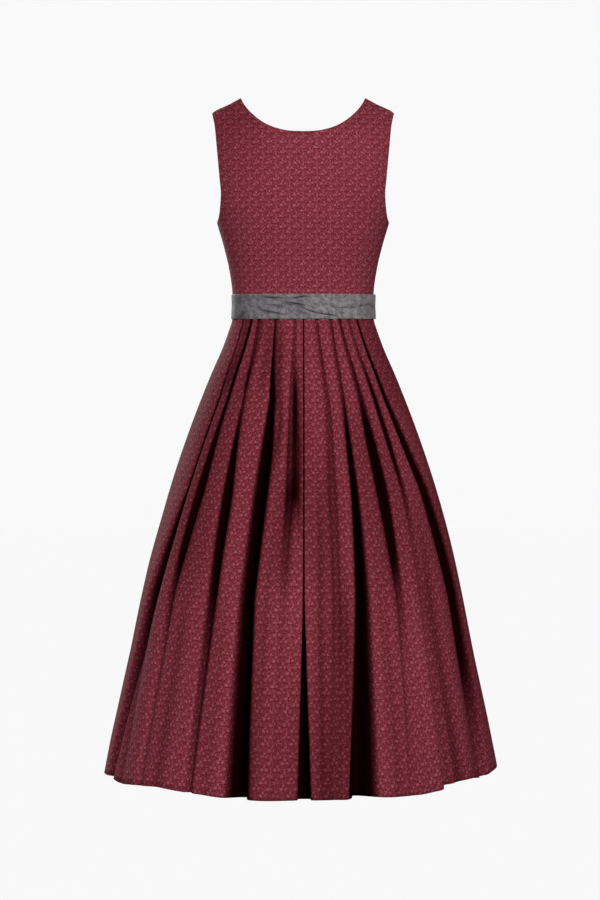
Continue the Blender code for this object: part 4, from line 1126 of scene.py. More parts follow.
def swelling_lift(points, swellings):
    lift = np.zeros(len(points))
    for swelling in swellings:
        up = points[:, 2] - swelling.z
        across = points[:, 0] - swelling.x - swelling.leaning * up
        lift += swelling.height * np.exp(-(across / swelling.half_wide) ** 2 - (up / swelling.half_tall) ** 2)
    return lift


print("swellings behind:", len(BACK_SWELLINGS), "and in front:", len(FRONT_SWELLINGS))

# %% [markdown]
# The two halves of the back are sewn into one panel by joining the points on the centre line. The print has
# to stand in level rows on a bodice, so the cloth coordinates are read off the form: the arc from the centre
# line, and the height above the waist.

# %% Make a panel of the bodice
BODICE_WALL = 0.0012
JOINED = 0.00005
# the form comes to a point at the very top, so the print is measured a millimetre below it
PRINT_TOP_Z = -0.001


def bodice_coordinates(points, side):
    """Arc from the centre line and height above the waist, in metres"""
    places = np.zeros((len(points), 2))
    levels = np.round(points[:, 2], 3)
    for level in np.unique(levels):
        here = levels == level
        girth = half_girth(float(min(level, PRINT_TOP_Z)), side)
        places[here, 0] = np.interp(points[here, 0], girth.x, girth.arcs) - girth.arc(0.0)
    places[:, 1] = points[:, 2] - WAIST_SEAM_Z
    return places


def bodice_piece(node, halves, side, swellings):
    """halves: nets with whether their faces are turned over"""
    shape = bmesh.new()
    for net, turned in halves:
        grid = [[shape.verts.new(point) for point in row] for row in net]
        for lower, upper in zip(grid, grid[1:]):
            for i in range(len(lower) - 1):
                corners = (lower[i], lower[i + 1], upper[i + 1], upper[i])
                shape.faces.new(corners[::-1] if turned else corners)
    bmesh.ops.remove_doubles(shape, verts=shape.verts[:], dist=JOINED)
    name = node + "_cloth"
    mesh = bpy.data.meshes.new(name)
    shape.to_mesh(mesh)
    shape.free()
    points = np.array([vertex.co for vertex in mesh.vertices])
    normals = np.array([vertex.normal for vertex in mesh.vertices])
    places = bodice_coordinates(points, side)
    corners = np.empty(len(mesh.loops), int)
    mesh.loops.foreach_get("vertex_index", corners)
    layer = mesh.uv_layers.new(name="cloth")
    layer.data.foreach_set("uv", places[corners].reshape(-1))
    lifted = points + normals * swelling_lift(points, swellings)[:, None]
    mesh.vertices.foreach_set("co", settled(lifted).reshape(-1))
    keep_shade(mesh, swelling_lift(points, DIM_PLACES))
    mesh.shade_smooth()
    mesh.materials.append(bodice_cotton)
    mesh.materials.append(bodice_wrong_side)
    made = into_scene(name, mesh)
    thicken(made, BODICE_WALL, -1.0)
    return dressed(made, node)


print("thickness of the bodice in metres:", BODICE_WALL)

# %% The back and the two fronts
MIRROR = np.array([-1.0, 1.0, 1.0])
# the right front goes on under the left one, as a button stand, so that no light shows through the closing
STAND_COLUMNS = np.array([-0.009, -0.003, 0.003, 0.009])
STAND_ROWS = 60
STAND_UNDER = (0.0, 0.0017, 0.0)
STAND_TOP_Z = -FRONT_NECK_DROP - 0.0006
stand_z = np.linspace(WAIST_SEAM_Z, STAND_TOP_Z, STAND_ROWS)
button_stand = form_points(STAND_COLUMNS[None], stand_z[:, None], FRONT) - STAND_UNDER
back_halves = [(half_back, False), (half_back * MIRROR, True)]
bodice_back = bodice_piece("bodice_back", back_halves, BACK, BACK_SWELLINGS)
right_halves = [(half_front, True), (button_stand, True)]
bodice_right = bodice_piece("bodice_front_right", right_halves, FRONT, FRONT_SWELLINGS)
left_halves = [(half_front * MIRROR, False)]
bodice_left = bodice_piece("bodice_front_left", left_halves, FRONT, FRONT_SWELLINGS)
print("cloth in the bodice back, square metres:", round(2 * net_area(half_back), 4))
print("cloth in half the front, square metres:", round(net_area(half_front), 4))

# %% [markdown]
# ## The apron's band
# The grey band is the apron's own: a folded strip that goes round the waist twice and crosses itself at
# centre back, so that its upper layer ends in a slanting edge. It is a different cotton, blue-grey with a
# faint vine drawn on it tone on tone. The vine's stem is a wave that a soft noise bends, and its tendrils run
# where such a noise crosses its middle value, so they bend and close like drawn ones.

# %% Grey cotton with a faint vine
GREY_GROUND = (0.112, 0.104, 0.110, 1.0)
GREY_LINE = (0.026, 0.030, 0.062, 1.0)
GREY_PALE = (0.215, 0.197, 0.192, 1.0)
# colour of the shade painted in creases, between gathers and where the band turns from the light
GREY_PAINTED_SHADE = (0.016, 0.015, 0.025, 1.0)
VINE_REPEAT = 0.052
VINE_ROW = 0.014
VINE_SWING = 0.0065
VINE_BEND = 0.02
TENDRIL_SCALES = (48.0, 80.0)
GREY_ROUGHNESS = 0.72


def vine_lines(cloth, place, across, along):
    """Where the stem and the tendrils are drawn, broken here and there"""
    bend = cloth.noise(place, scale=30.0, detail=2.0, roughness=0.6)
    turns = cloth.math("MULTIPLY", across, 2 * math.pi / VINE_REPEAT)
    middle = cloth.math("MULTIPLY", cloth.math("SINE", turns), VINE_SWING)
    middle = cloth.math("MULTIPLY_ADD", cloth.math("SUBTRACT", bend, 0.5), VINE_BEND, middle)
    beside = cloth.math("WRAP", cloth.math("SUBTRACT", along, middle), VINE_ROW, -VINE_ROW)
    stem = cloth.soft_step(cloth.math("ABSOLUTE", beside), 0.0003, 0.0012)
    tendrils = 0.0
    for scale in TENDRIL_SCALES:
        beside = cloth.math("SUBTRACT", cloth.noise(place, scale, detail=1.5, roughness=0.5), 0.5)
        tendril = cloth.soft_step(cloth.math("ABSOLUTE", beside), 0.004, 0.016)
        tendrils = cloth.math("MAXIMUM", tendrils, tendril)
    lines = cloth.math("MAXIMUM", stem, cloth.math("MULTIPLY", tendrils, 0.9))
    breaks = cloth.noise(place, scale=120.0, detail=2.0, roughness=0.6)
    return cloth.math("MULTIPLY", lines, cloth.math("MULTIPLY_ADD", breaks, 2.4, -0.45))


def grey_cotton(name):
    cloth = Cloth(name)
    place, across, along = cloth.cloth_place()
    lines = cloth.math("MULTIPLY", vine_lines(cloth, place, across, along), 0.8)
    clouds = cloth.noise(place, scale=75.0, detail=4.0, roughness=0.65)
    colour = cloth.blend(cloth.soft_step(clouds, 0.36, 0.60), GREY_PALE, GREY_GROUND)
    colour = cloth.blend(cloth.math("MAXIMUM", lines, 0.0), colour, GREY_LINE)
    # painted shade, as far as the cloth's shade attribute says
    colour = cloth.blend(cloth.painted_shade(), colour, GREY_PAINTED_SHADE)
    crumple = cloth.noise(place, scale=40.0, detail=3.0, roughness=0.55)
    normal = cloth.relief(crumple, distance=0.0025, strength=0.6)
    normal = cloth.relief(cloth.weave(place, 420.0), distance=0.00012, strength=0.6, below=normal)
    cloth.shader.inputs["Sheen Weight"].default_value = 0.15
    cloth.shader.inputs["Specular IOR Level"].default_value = 0.3
    return cloth.finished(colour, GREY_ROUGHNESS, normal)


def apron_piece(node, net, finish, wall, ring=False, shade=None):
    """A piece in the apron's cotton that stands for its solid"""
    across, along = plain_coordinates(net, ring)
    made = cloth_object(node + "_cloth", net, across, along, finish, wall, ring, shade)
    print("square metres of cloth:", round(net_area(net), 4))
    return dressed(made, node)


band_cotton = grey_cotton("grey_vine_band")
print("band material nodes:", len(band_cotton.node_tree.nodes))

# %% [markdown]
# The band was tied tight, so it lies in soft creases that run along the strip. A crease is a line with a
# width and a depth, and a shade to go with it. The strip's own edges are rounded a little, and its rows keep
# to the form at its upper edge, at the waist and at its lower edge.

# %% Creases and rows of a strip round the waist
BAND_GAP = 0.0005
BAND_WALL = 0.0015
TIE_WALL = 0.0012
BAND_TALL = BAND_TOP_Z - BAND_BOTTOM_Z
BAND_RADIUS = 0.125
BAND_RIM = 0.0005
# start and end: degrees from centre back and share of the height down; width and depth in metres
Crease = namedtuple("Crease", "start end width depth shade")
# painted shade: the band turns from the light towards its ends, and its under layer is painted darker
# than the tie
BAND_SHADE = smooth_curve(
    [-180, -120, -90, -69, -58, -50, -43, -31, 4, 10, 16, 58, 68, 76, 90, 120, 180],
    [0.05, 0.05, 0.78, 0.68, 0.49, 0.28, 0.16, 0.19, 0.22, 0.08, 0.02, 0.02, 0.12, 0.22, 0.35, 0.05, 0.05])
BAND_CREASES = [
    Crease((-62, 0.35), (-36, 0.12), 0.0020, 0.0009, 0.25),
    Crease((-35, 0.40), (-14, 0.52), 0.0022, 0.0010, 0.45),
    Crease((-38, 0.62), (-14, 0.84), 0.0018, 0.0013, 0.90),
    Crease((-58, 0.75), (-38, 0.66), 0.0020, 0.0008, 0.30),
    Crease((-8, 0.66), (8, 0.86), 0.0022, 0.0010, 0.30),
    Crease((-66, 0.95), (-52, 0.80), 0.0040, 0.0, 0.45),
]


def around(z, degrees, outward):
    """Points on the form right round: 0 is centre back, 90 the +X side, 180 centre front"""
    degrees = np.asarray(degrees, float)
    behind = np.abs(degrees) <= 90
    back = half_girth(z, BACK)
    front = half_girth(z, FRONT)
    local = np.sign(degrees) * 180 - degrees
    points = np.where(behind[:, None], back.place(back.arc(degrees)), front.place(front.arc(local)))
    inward_back = np.stack([np.interp(degrees, back.degrees, back.inward[:, k]) for k in (0, 1)], axis=1)
    inward_front = np.stack([np.interp(local, front.degrees, front.inward[:, k]) for k in (0, 1)], axis=1)
    inward = np.where(behind[:, None], inward_back, inward_front)
    points[:, :2] -= np.asarray(outward)[..., None] * inward
    return points


def crease_dip(degrees, down, creases):
    """How far the creases sink the cloth at each place of the band, and how dark it lies in them"""
    dip = np.zeros_like(degrees)
    dark = np.zeros_like(degrees)
    x = np.radians(degrees) * BAND_RADIUS
    z = down * BAND_TALL
    for crease in creases:
        start, end = (np.array([math.radians(turn) * BAND_RADIUS, share * BAND_TALL])
                      for turn, share in (crease.start, crease.end))
        way = end - start
        share = np.clip(((x - start[0]) * way[0] + (z - start[1]) * way[1]) / (way @ way), 0.0, 1.0)
        off = np.hypot(x - start[0] - share * way[0], z - start[1] - share * way[1])
        swell = (0.35 + 0.65 * np.sin(np.pi * share)) * np.exp(-(off / crease.width) ** 2)
        dip += crease.depth * swell
        dark += crease.shade * swell
    return dip, dark


def band_net(degrees, bottoms, outward, creases):
    """Rows of a strip from the band's top down to a share of its height at each angle, and its shade"""
    net = []
    shade = []
    for t in np.linspace(0.0, 1.0, BAND_ROWS):
        down = bottoms * t
        dip, dark = crease_dip(degrees, down, creases)
        lift = outward - dip - BAND_RIM * (2 * abs(t - 0.5)) ** 8
        upper, middle, lower = (around(z, degrees, lift) for z in (BAND_TOP_Z, WAIST_SEAM_Z, BAND_BOTTOM_Z))
        z = BAND_TOP_Z - down * BAND_TALL
        first = np.clip((BAND_TOP_Z - z) / (BAND_TOP_Z - WAIST_SEAM_Z), 0.0, 1.0)[:, None]
        second = np.clip((WAIST_SEAM_Z - z) / (WAIST_SEAM_Z - BAND_BOTTOM_Z), 0.0, 1.0)[:, None]
        net.append(upper + (middle - upper) * first + (lower - middle) * second)
        shade.append(np.minimum(dark + BAND_SHADE(degrees), 1.0))
    return np.array(net), np.array(shade)


print("creases of the band:", len(BAND_CREASES))

# %% The band's ring
BAND_ROWS = 41
RING_COLUMNS = 480
angles = np.linspace(-180.0, 180.0, RING_COLUMNS + 1)[:-1]
ring_net, ring_shade = band_net(angles, np.ones(RING_COLUMNS), BAND_GAP + 0.5 * BAND_WALL, BAND_CREASES)
apron_band = apron_piece("apron_band", ring_net, band_cotton, BAND_WALL, True, ring_shade)
middle_row = ring_net[BAND_ROWS // 2]
band_length = float(np.linalg.norm(np.roll(middle_row, -1, axis=0) - middle_row, axis=1).sum())
print("band, length and height in metres:", round(band_length, 3), round(BAND_TALL, 3))

# %% [markdown]
# The over-layer starts as a point at the band's upper edge on the left, and its free edge slants down across
# centre back to the lower edge on the right. That edge stands a little proud, which gives its thin shadow.

# %% The crossing tie
TIE_EDGE_ANGLES = [-35, -24, -16, -8, -1, 4, 11, 18, 26, 31]
TIE_EDGE = smooth_curve(TIE_EDGE_ANGLES, [0.08, 0.20, 0.34, 0.44, 0.53, 0.66, 0.78, 0.84, 0.89, 1.0])
TIE_END_ANGLE = 165.0
TIE_CREASES = [
    Crease((-35, 0.12), (-17, 0.17), 0.0017, 0.0012, 1.00),
    Crease((-8, 0.17), (3, 0.08), 0.0018, 0.0012, 0.95),
    Crease((-13, 0.33), (2, 0.46), 0.0019, 0.0010, 1.00),
    Crease((0, 0.62), (11, 0.76), 0.0021, 0.0003, 1.00),
    Crease((11, 0.77), (28, 0.88), 0.0017, 0.0003, 1.00),
    Crease((2, 0.30), (22, 0.60), 0.0022, 0.0008, 0.20),
    Crease((22, 0.55), (44, 0.54), 0.0012, 0.0007, 0.75),
    Crease((44, 0.54), (72, 0.36), 0.0012, 0.0009, 0.80),
    Crease((30, 0.78), (60, 0.86), 0.0020, 0.0006, 0.20),
    Crease((40, 0.10), (43, 0.40), 0.0016, 0.0004, 0.40),
]
TIE_COLUMNS = 301
TIE_START_ANGLE = -34.9
TIE_EDGE_PROUD = 0.0004
tie_angles = np.linspace(TIE_START_ANGLE, TIE_END_ANGLE, TIE_COLUMNS)
edge_end = TIE_EDGE_ANGLES[-1]
tie_low = np.where(tie_angles < edge_end, TIE_EDGE(np.minimum(tie_angles, edge_end)), 1.0)
tie_out = BAND_GAP + BAND_WALL + SEAM_GAP + 0.5 * TIE_WALL + TIE_EDGE_PROUD
tie_net, tie_shade = band_net(tie_angles, tie_low, tie_out, TIE_CREASES)
tie_over = apron_piece("tie_over", tie_net, band_cotton, TIE_WALL, shade=tie_shade)

# %% [markdown]
# ## The apron
# The apron's skirt hangs from the band over the front of the dress, gathered at the top and open at the back.
# Gathers are many small waves that melt into a few broad ones, so its net stands off the skirt by two sine
# waves, a fine one that dies out within a hand's width and a broad one that grows towards the hem.

# %% The gathered apron skirt
APRON_HALF_ANGLE = 64.0
APRON_WAVES = 13
APRON_GAP = 0.0009
APRON_WALL = 0.0009
APRON_TOP_Z = BAND_BOTTOM_Z - 2 * SEAM_GAP
APRON_ROWS = 70
APRON_CROWDING = 1.3
TOP_WAVE = 0.0008
HEM_WAVE = 0.0070
WAVES_GROW_OVER = 0.5
FINE_WAVE = 0.0014
FINE_WAVE_FADES = 0.035
FINE_SHADE_FADES = 0.030


def apron_lift(z, t):
    """How far the gathers lift the apron at one height, and how much shade is painted between them"""
    below = BAND_BOTTOM_Z - z
    down = ease(below / WAVES_GROW_OVER)
    height = TOP_WAVE + (HEM_WAVE - TOP_WAVE) * down
    warped = t + 0.026 * np.sin(2 * np.pi * 2.3 * t + 0.7) + 0.008 * np.sin(2 * np.pi * 5.9 * t)
    wave = 0.5 - 0.5 * np.cos(2 * np.pi * APRON_WAVES * warped)
    uneven = 0.68 + 0.32 * np.sin(2 * np.pi * 3.1 * t + 1.3)
    fine = 0.5 - 0.5 * np.cos(2 * np.pi * 4 * APRON_WAVES * (t + 0.004 * np.sin(40 * t)))
    gathers = FINE_WAVE * fine * np.exp(-below / FINE_WAVE_FADES)
    dark = (0.12 + 0.26 * down) * (1.0 - wave) ** 2
    dark = dark + 0.5 * (1.0 - fine) * np.exp(-below / FINE_SHADE_FADES)
    return height * wave * uneven + gathers, dark


across_share = np.linspace(0.0, 1.0, 16 * APRON_WAVES + 1)
apron_rows = []
apron_shade = []
for z in row_heights(APRON_TOP_Z, APRON_HEM_Z, APRON_ROWS, APRON_CROWDING):
    girth = half_girth(float(z), FRONT)
    start, end = girth.arc(-APRON_HALF_ANGLE), girth.arc(APRON_HALF_ANGLE)
    arcs = start + (end - start) * across_share
    lift, dark = apron_lift(z, across_share)
    # the apron also rests on the ridges of the skirt under it
    lift = lift + np.maximum(ridge_lift(FRONT_RIDGES, girth, arcs)[0], 0.0)
    apron_rows.append(girth.place(arcs, -APRON_GAP - 0.5 * APRON_WALL - lift)[::-1])
    apron_shade.append(dark[::-1])
apron_net = turned_up(np.array(apron_rows))
apron_skirt = apron_piece("apron_skirt", apron_net, grey_cotton("grey_vine_apron"), APRON_WALL,
                          shade=turned_shade(np.array(apron_shade)))

# %% [markdown]
# ## The bow
# The ties end in a bow in front, a little to the wearer's left: a knot, two loops and two tails. On a real
# apron all of it is one strip, but each part has a shape of its own, so each is made as a net of its own.

# %% Where the bow sits
BOW_X = -0.012
KNOT_SIZE = np.array([0.026, 0.016, 0.040])
LOOP_LENGTH = 0.056
LOOP_OPENING = 0.010
LOOP_WALL = 0.0018
TAIL_WIDTH = 0.046
TAIL_LENGTH = 0.340
BOW_COTTON = 0.0010
bow_z = 0.5 * (BAND_TOP_Z + BAND_BOTTOM_Z)
outside = BAND_GAP + BAND_WALL + TIE_WALL + 2 * SEAM_GAP
knot_centre = form_points(BOW_X, bow_z, FRONT) + (0.0, outside + 2 * SEAM_GAP + 0.5 * KNOT_SIZE[1], 0.0)
print("middle of the knot:", [round(float(number), 4) for number in knot_centre])

# %% [markdown]
# A knot is a strip wrapped round itself. Pulled tight it is a rounded block, and what shows of the wrap are
# two slanting dents across it, so a block with dents stands for it.

# %% The knot, wrapped and dented
KNOT_SQUARE = 3.0
KNOT_CROWN = 4.0
KNOT_ROOM = 0.98
KNOT_ROWS = 25
KNOT_COLUMNS = 48


def knot_net():
    """Rows round the knot, from its top down, dented where the strip goes over itself"""
    rows = []
    turn = np.linspace(0.0, 2 * np.pi, KNOT_COLUMNS + 1)[:-1]
    sine = np.sin(turn)
    cosine = np.cos(turn)
    reach = (np.abs(sine) ** KNOT_SQUARE + np.abs(cosine) ** KNOT_SQUARE) ** (-1.0 / KNOT_SQUARE)
    for up in np.linspace(-1.0, 1.0, KNOT_ROWS):
        narrow = (1.0 - np.abs(up) ** KNOT_CROWN) ** 0.25 if abs(up) < 1 else 0.0
        wrap = 1.0 - 0.05 * np.exp(-((up - 0.35 * np.sin(turn)) / 0.14) ** 2)
        wrap = wrap - 0.04 * np.exp(-((up + 0.45 + 0.2 * np.sin(turn + 1.0)) / 0.12) ** 2)
        x = 0.5 * KNOT_SIZE[0] * cosine * reach * narrow * wrap * KNOT_ROOM
        y = 0.5 * KNOT_SIZE[1] * sine * reach * narrow * wrap * KNOT_ROOM
        z = np.full_like(x, 0.5 * KNOT_SIZE[2] * up * KNOT_ROOM)
        rows.append(np.stack([x, y, z], axis=1) + knot_centre)
    return np.array(rows[::-1])


bow_knot = apron_piece("bow_knot", knot_net(), band_cotton, 0.0, ring=True)

# %% [markdown]
# Each loop is one strip that leaves the knot, turns round and comes back. From above that is two legs and a
# half circle. The strip is creased where the knot grips it, and spreads to its whole width further out.

# %% The loops
LOOP_ROOT = 0.024
LOOP_ROWS = 27
PINCH = 0.018
PINCH_CREASE = 0.0006
PINCH_SHADE = 0.016
LOOP_SLANT = 0.03


def loop_net(hand):
    """Rows from the top down of one loop's middle surface, right round from the knot and back to it"""
    turn = 0.5 * LOOP_OPENING
    root = 0.5 * LOOP_WALL + SEAM_GAP
    share = np.linspace(0.0, 1.0, 22)
    leg_reach = share * (LOOP_LENGTH - turn)
    leg_off = root + (turn - root) * ease(1.6 * share)
    bend = np.linspace(0.0, np.pi, 16)[1:-1]
    reach = np.concatenate([leg_reach, LOOP_LENGTH - turn + turn * np.sin(bend), leg_reach[::-1]])
    off = np.concatenate([-leg_off, -turn * np.cos(bend), leg_off[::-1]])
    start = knot_centre[0] + hand * (0.5 * KNOT_SIZE[0] + SEAM_GAP)
    spread = LOOP_ROOT + (TAIL_WIDTH - LOOP_ROOT) * ease(reach / (0.6 * LOOP_LENGTH))
    x = start + hand * reach
    lying = form_points(x, bow_z, FRONT)[:, 1] + outside + turn + 2 * LOOP_WALL
    pinch = np.exp(-reach / PINCH)
    rows = []
    shade = []
    for level in np.linspace(0.0, 1.0, LOOP_ROWS):
        crease = PINCH_CREASE * np.cos(2 * np.pi * 3.0 * level) * pinch
        crease = crease * np.sign(off) * np.minimum(reach / 0.004, 1.0)
        y = lying + off + crease * 0.5
        z = bow_z + (0.5 - level) * spread - LOOP_SLANT * reach
        rows.append(np.stack([x, y, z], axis=1))
        # painted shade in the creases where the knot grips the loop, and more at its very root
        gathered = 0.5 - 0.5 * np.cos(2 * np.pi * (3.5 * level + 0.2 * hand))
        shade.append(0.75 * gathered ** 2 * np.exp(-reach / PINCH_SHADE) + 0.25 * (reach < 0.003))
    return np.array(rows), np.array(shade)


bow_sides = {"right": 1, "left": -1}
loops = {}
for side_name, hand in bow_sides.items():
    net, shade = loop_net(hand)
    loops[side_name] = apron_piece("bow_loop_" + side_name, net, band_cotton, BOW_COTTON, shade=shade)

# %% [markdown]
# The tails are the free ends of the strip. They hang over the apron a little apart, and two shallow waves
# curl them across and along, because a flat strip would look like card.

# %% The tails
TAIL_ROWS = 60
TAIL_ROOT = 0.021
TAIL_ROOT_X = 0.0115
TAIL_END_X = 0.048
TAIL_OUT = 0.0110
SHORT_TAIL = 0.92


def tail_net(hand):
    """Rows of one tail from the knot down; the left one is shorter"""
    top_z = knot_centre[2] - 0.5 * KNOT_SIZE[2] - SEAM_GAP
    length = TAIL_LENGTH * (1.0 if hand > 0 else SHORT_TAIL)
    s = np.linspace(-1.0, 1.0, 21)
    rows = []
    for t in np.linspace(0.0, 1.0, TAIL_ROWS):
        half = 0.5 * (TAIL_ROOT + (TAIL_WIDTH - TAIL_ROOT) * ease(2 * t))
        middle = BOW_X + hand * (TAIL_ROOT_X + (TAIL_END_X - TAIL_ROOT_X) * t)
        lift = outside + (TAIL_OUT - outside) * ease(4 * t)
        wave = 0.0012 * np.cos(np.pi * s) + 0.0007 * np.sin(2 * np.pi * (1.3 * t + 0.4 * s * hand))
        points = form_points(middle + s * half, top_z - length * t, FRONT)
        points[:, 1] += lift + SEAM_GAP + 0.5 * TIE_WALL + wave * ease(6 * t)
        rows.append(points[::-1])
    return np.array(rows)


tail_nets = {side_name: tail_net(hand) for side_name, hand in bow_sides.items()}
tails = {}
for side_name, net in tail_nets.items():
    tails[side_name] = apron_piece("bow_tail_" + side_name, net, band_cotton, BOW_COTTON)

# %% [markdown]
# ## Buttons
# Six small horn buttons close the front. Horn is dark, with soft paler clouds and a dull shine, and the
# thread that holds a button is twisted, dark and light by turns. Noise at the right scale gives both.

# %% Horn and thread
HORN_DARK = (0.030, 0.016, 0.010, 1.0)
HORN_LIGHT = (0.115, 0.070, 0.048, 1.0)
horn = Drawing("horn_button")
grain = horn.noise(horn.node("ShaderNodeTexCoord").outputs["Object"], scale=420.0, detail=3.0, roughness=0.6)
horn_finish = horn.finished(horn.blend(grain, HORN_DARK, HORN_LIGHT), 0.38, horn.relief(grain, 0.00005, 0.4))


def thread_finish(name, dark, light):
    """Twisted thread, dark and light by turns"""
    thread = Drawing(name)
    twist = thread.noise(thread.node("ShaderNodeTexCoord").outputs["Object"], scale=1500.0)
    return thread.finished(thread.blend(twist, dark, light), 0.8)


wine_thread = thread_finish("wine_thread", (0.120, 0.022, 0.030, 1.0), (0.230, 0.060, 0.076, 1.0))
grey_thread = thread_finish("grey_thread", (0.085, 0.080, 0.090, 1.0), (0.150, 0.142, 0.150, 1.0))
print("finishes:", horn_finish.name, wine_thread.name, grey_thread.name)

# %% [markdown]
# A button is turned on a lathe, so its profile is spun round an axis: a rounded rim, a shallow dish and a
# flat underside. Two crossed threads hold it, each a thin bar that rises in its middle.

# %% Turn a button and sew its threads
# radius and height, from the middle of the underside round the rim to the middle of the dish
BUTTON_PROFILE = [(0.0, 0.0), (0.0052, 0.0), (0.0062, 0.0004), (0.0065, 0.0012), (0.0063, 0.0021),
                  (0.0056, 0.0027), (0.0049, 0.0028), (0.0043, 0.0024), (0.0036, 0.0019), (0.0, 0.0018)]
BUTTON_SIDES = 32
DISH = BUTTON_PROFILE[-1][1]
THREAD_REACH = 0.0016
THREAD_RISE = 0.0006
THREAD_HALF = 0.0002


def turned_button(shape):
    """The horn, spun round its axis"""
    rings = []
    for radius, height in BUTTON_PROFILE[1:-1]:
        turns = [math.tau * k / BUTTON_SIDES for k in range(BUTTON_SIDES)]
        rings.append([shape.verts.new((radius * math.cos(turn), radius * math.sin(turn), height))
                      for turn in turns])
    under = shape.verts.new((0.0, 0.0, BUTTON_PROFILE[0][1]))
    dish = shape.verts.new((0.0, 0.0, DISH))
    for k in range(BUTTON_SIDES):
        after = (k + 1) % BUTTON_SIDES
        shape.faces.new((under, rings[0][after], rings[0][k]))
        shape.faces.new((dish, rings[-1][k], rings[-1][after]))
        for low, high in zip(rings, rings[1:]):
            shape.faces.new((low[k], low[after], high[after], high[k]))


def button_thread(shape, turn):
    """One thread over the dish, four-sided and raised in its middle"""
    along = Vector((math.cos(turn), math.sin(turn), 0.0))
    side = Vector((-along.y, along.x, 0.0))
    ends = []
    for share in (-1.0, -0.5, 0.0, 0.5, 1.0):
        middle = along * THREAD_REACH * share + Vector((0.0, 0.0, DISH + THREAD_RISE * (1 - share ** 2)))
        ends.append([shape.verts.new(middle + side * THREAD_HALF * a + Vector((0, 0, THREAD_HALF * b)))
                     for a, b in ((-1, 0), (0, 1), (1, 0), (0, -1))])
    for first, second in zip(ends, ends[1:]):
        for k in range(4):
            after = (k + 1) % 4
            face = shape.faces.new((first[k], first[after], second[after], second[k]))
            face.material_index = 1


print("a button is", 2000 * max(radius for radius, _ in BUTTON_PROFILE), "mm across")

# %% [markdown]
# A button has to lie flat on a bodice that curves two ways. So it is turned until its axis stands square on
# the form in the middle of its solid.

# %% Set the buttons on the front
BUTTONS = 6
BUTTON_SEAT = 0.0004
SLOPE_STEP = 0.002


def button_piece(number):
    node = f"button_{number}"
    shape = bmesh.new()
    turned_button(shape)
    for turn in (0.25 * math.pi, 0.75 * math.pi):
        button_thread(shape, turn)
    mesh = bpy.data.meshes.new(node + "_horn")
    shape.to_mesh(mesh)
    shape.free()
    mesh.shade_smooth()
    mesh.materials.append(horn_finish)
    mesh.materials.append(wine_thread)
    made = into_scene(node + "_horn", mesh)
    low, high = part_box(node)
    x, _, z = (low + high) / 2
    slope_x = form_points(x + SLOPE_STEP, z, FRONT) - form_points(x - SLOPE_STEP, z, FRONT)
    slope_z = form_points(x, z + SLOPE_STEP, FRONT) - form_points(x, z - SLOPE_STEP, FRONT)
    normal = Vector(np.cross(slope_z, slope_x)).normalized()
    made.rotation_mode = "QUATERNION"
    made.rotation_quaternion = normal.to_track_quat("Z", "Y")
    made.location = Vector(form_points(x, z, FRONT)) + normal * BUTTON_SEAT
    bpy.context.view_layer.update()
    return dressed(made, node)


for number in range(1, BUTTONS + 1):
    button_piece(number)

# %% [markdown]
# ## Sewing
# From some way off a hem is only a line in the light, but from close to it is a row of stitches. Each stitch
# is a grain of thread, pointed at both ends, laid along a line on the cloth. The edges of the neck and the
# armholes, the button edge, the hems, the band and the tails are all sewn down a few millimetres in.

# %% A row of stitches along a line
STITCH_LENGTH = 0.0024
STITCH_STEP = 0.0034
THREAD_THICK = 0.00025
# corners of a stitch: its two ends, its top, and its two sides
STITCH_FACES = [(0, 2, 1), (0, 1, 3), (4, 1, 2), (4, 3, 1), (0, 3, 4, 2)]


def sewn(name, lines, finish):
    """lines: pairs of points on the cloth and the way out of the cloth at each of them"""
    ends = [[], [], []]
    for points, outward in lines:
        run = np.concatenate([[0.0], np.cumsum(np.linalg.norm(np.diff(points, axis=0), axis=1))])
        at = np.arange(0.5 * STITCH_STEP, run[-1] - STITCH_STEP, STITCH_STEP)
        for kept, shift, rows in ((ends[0], 0.0, points), (ends[1], STITCH_LENGTH, points),
                                  (ends[2], 0.5 * STITCH_LENGTH, outward)):
            kept.append(np.stack([np.interp(at + shift, run, rows[:, k]) for k in range(3)], axis=1))
    first, last, out = (np.concatenate(kept) for kept in ends)
    side = np.cross(last - first, out)
    side *= THREAD_THICK / np.linalg.norm(side, axis=1)[:, None]
    middle = 0.5 * (first + last)
    corners = np.stack([first, middle + THREAD_THICK * out, middle + side, middle - side, last], axis=1)
    count = corners.shape[1]
    faces = [[count * k + corner for corner in face] for k in range(len(first)) for face in STITCH_FACES]
    mesh = bpy.data.meshes.new(name)
    mesh.from_pydata(corners.reshape(-1, 3).tolist(), [], faces)
    mesh.materials.append(finish)
    made = into_scene(name, mesh)
    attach(made, "root")
    print(name, "has", len(first), "stitches")
    return made


# %% Lines on the cloth to sew along
THREAD_LIFT = 0.0001
CORNER_POINTS = 7
IN_LIGHT = 0.5
SHORTEST_RUN = 3


def net_line(net, row=None, column=None, lift=0.0):
    """One row or column of a net, lifted onto the outside of its cloth; a broken row lies between two"""
    outward = outward_of(net)
    if column is not None:
        points, out = net[:, column], outward[:, column]
    else:
        upper = int(math.floor(row))
        points = net[upper] + (net[upper + 1] - net[upper]) * (row - upper)
        out = outward[upper]
    return points + lift * out, out


def edge_line(path, side, inward):
    """A line on the bodice a little way in from one of its edges, and the way out of the cloth along it"""
    x, y, z = path.T
    out = np.stack([x / half_width(z) ** 2, y / depth_of[side](z) ** 2, np.zeros_like(z)], axis=1)
    out /= np.linalg.norm(out, axis=1)[:, None]
    run = np.gradient(path, axis=0)
    shift = np.cross(run, out)
    shift *= inward / np.linalg.norm(shift, axis=1)[:, None]
    line = settled(onto_form(path + shift, side))
    kept = slice(CORNER_POINTS, -CORNER_POINTS)
    return line[kept] + THREAD_LIFT * out[kept], out[kept]


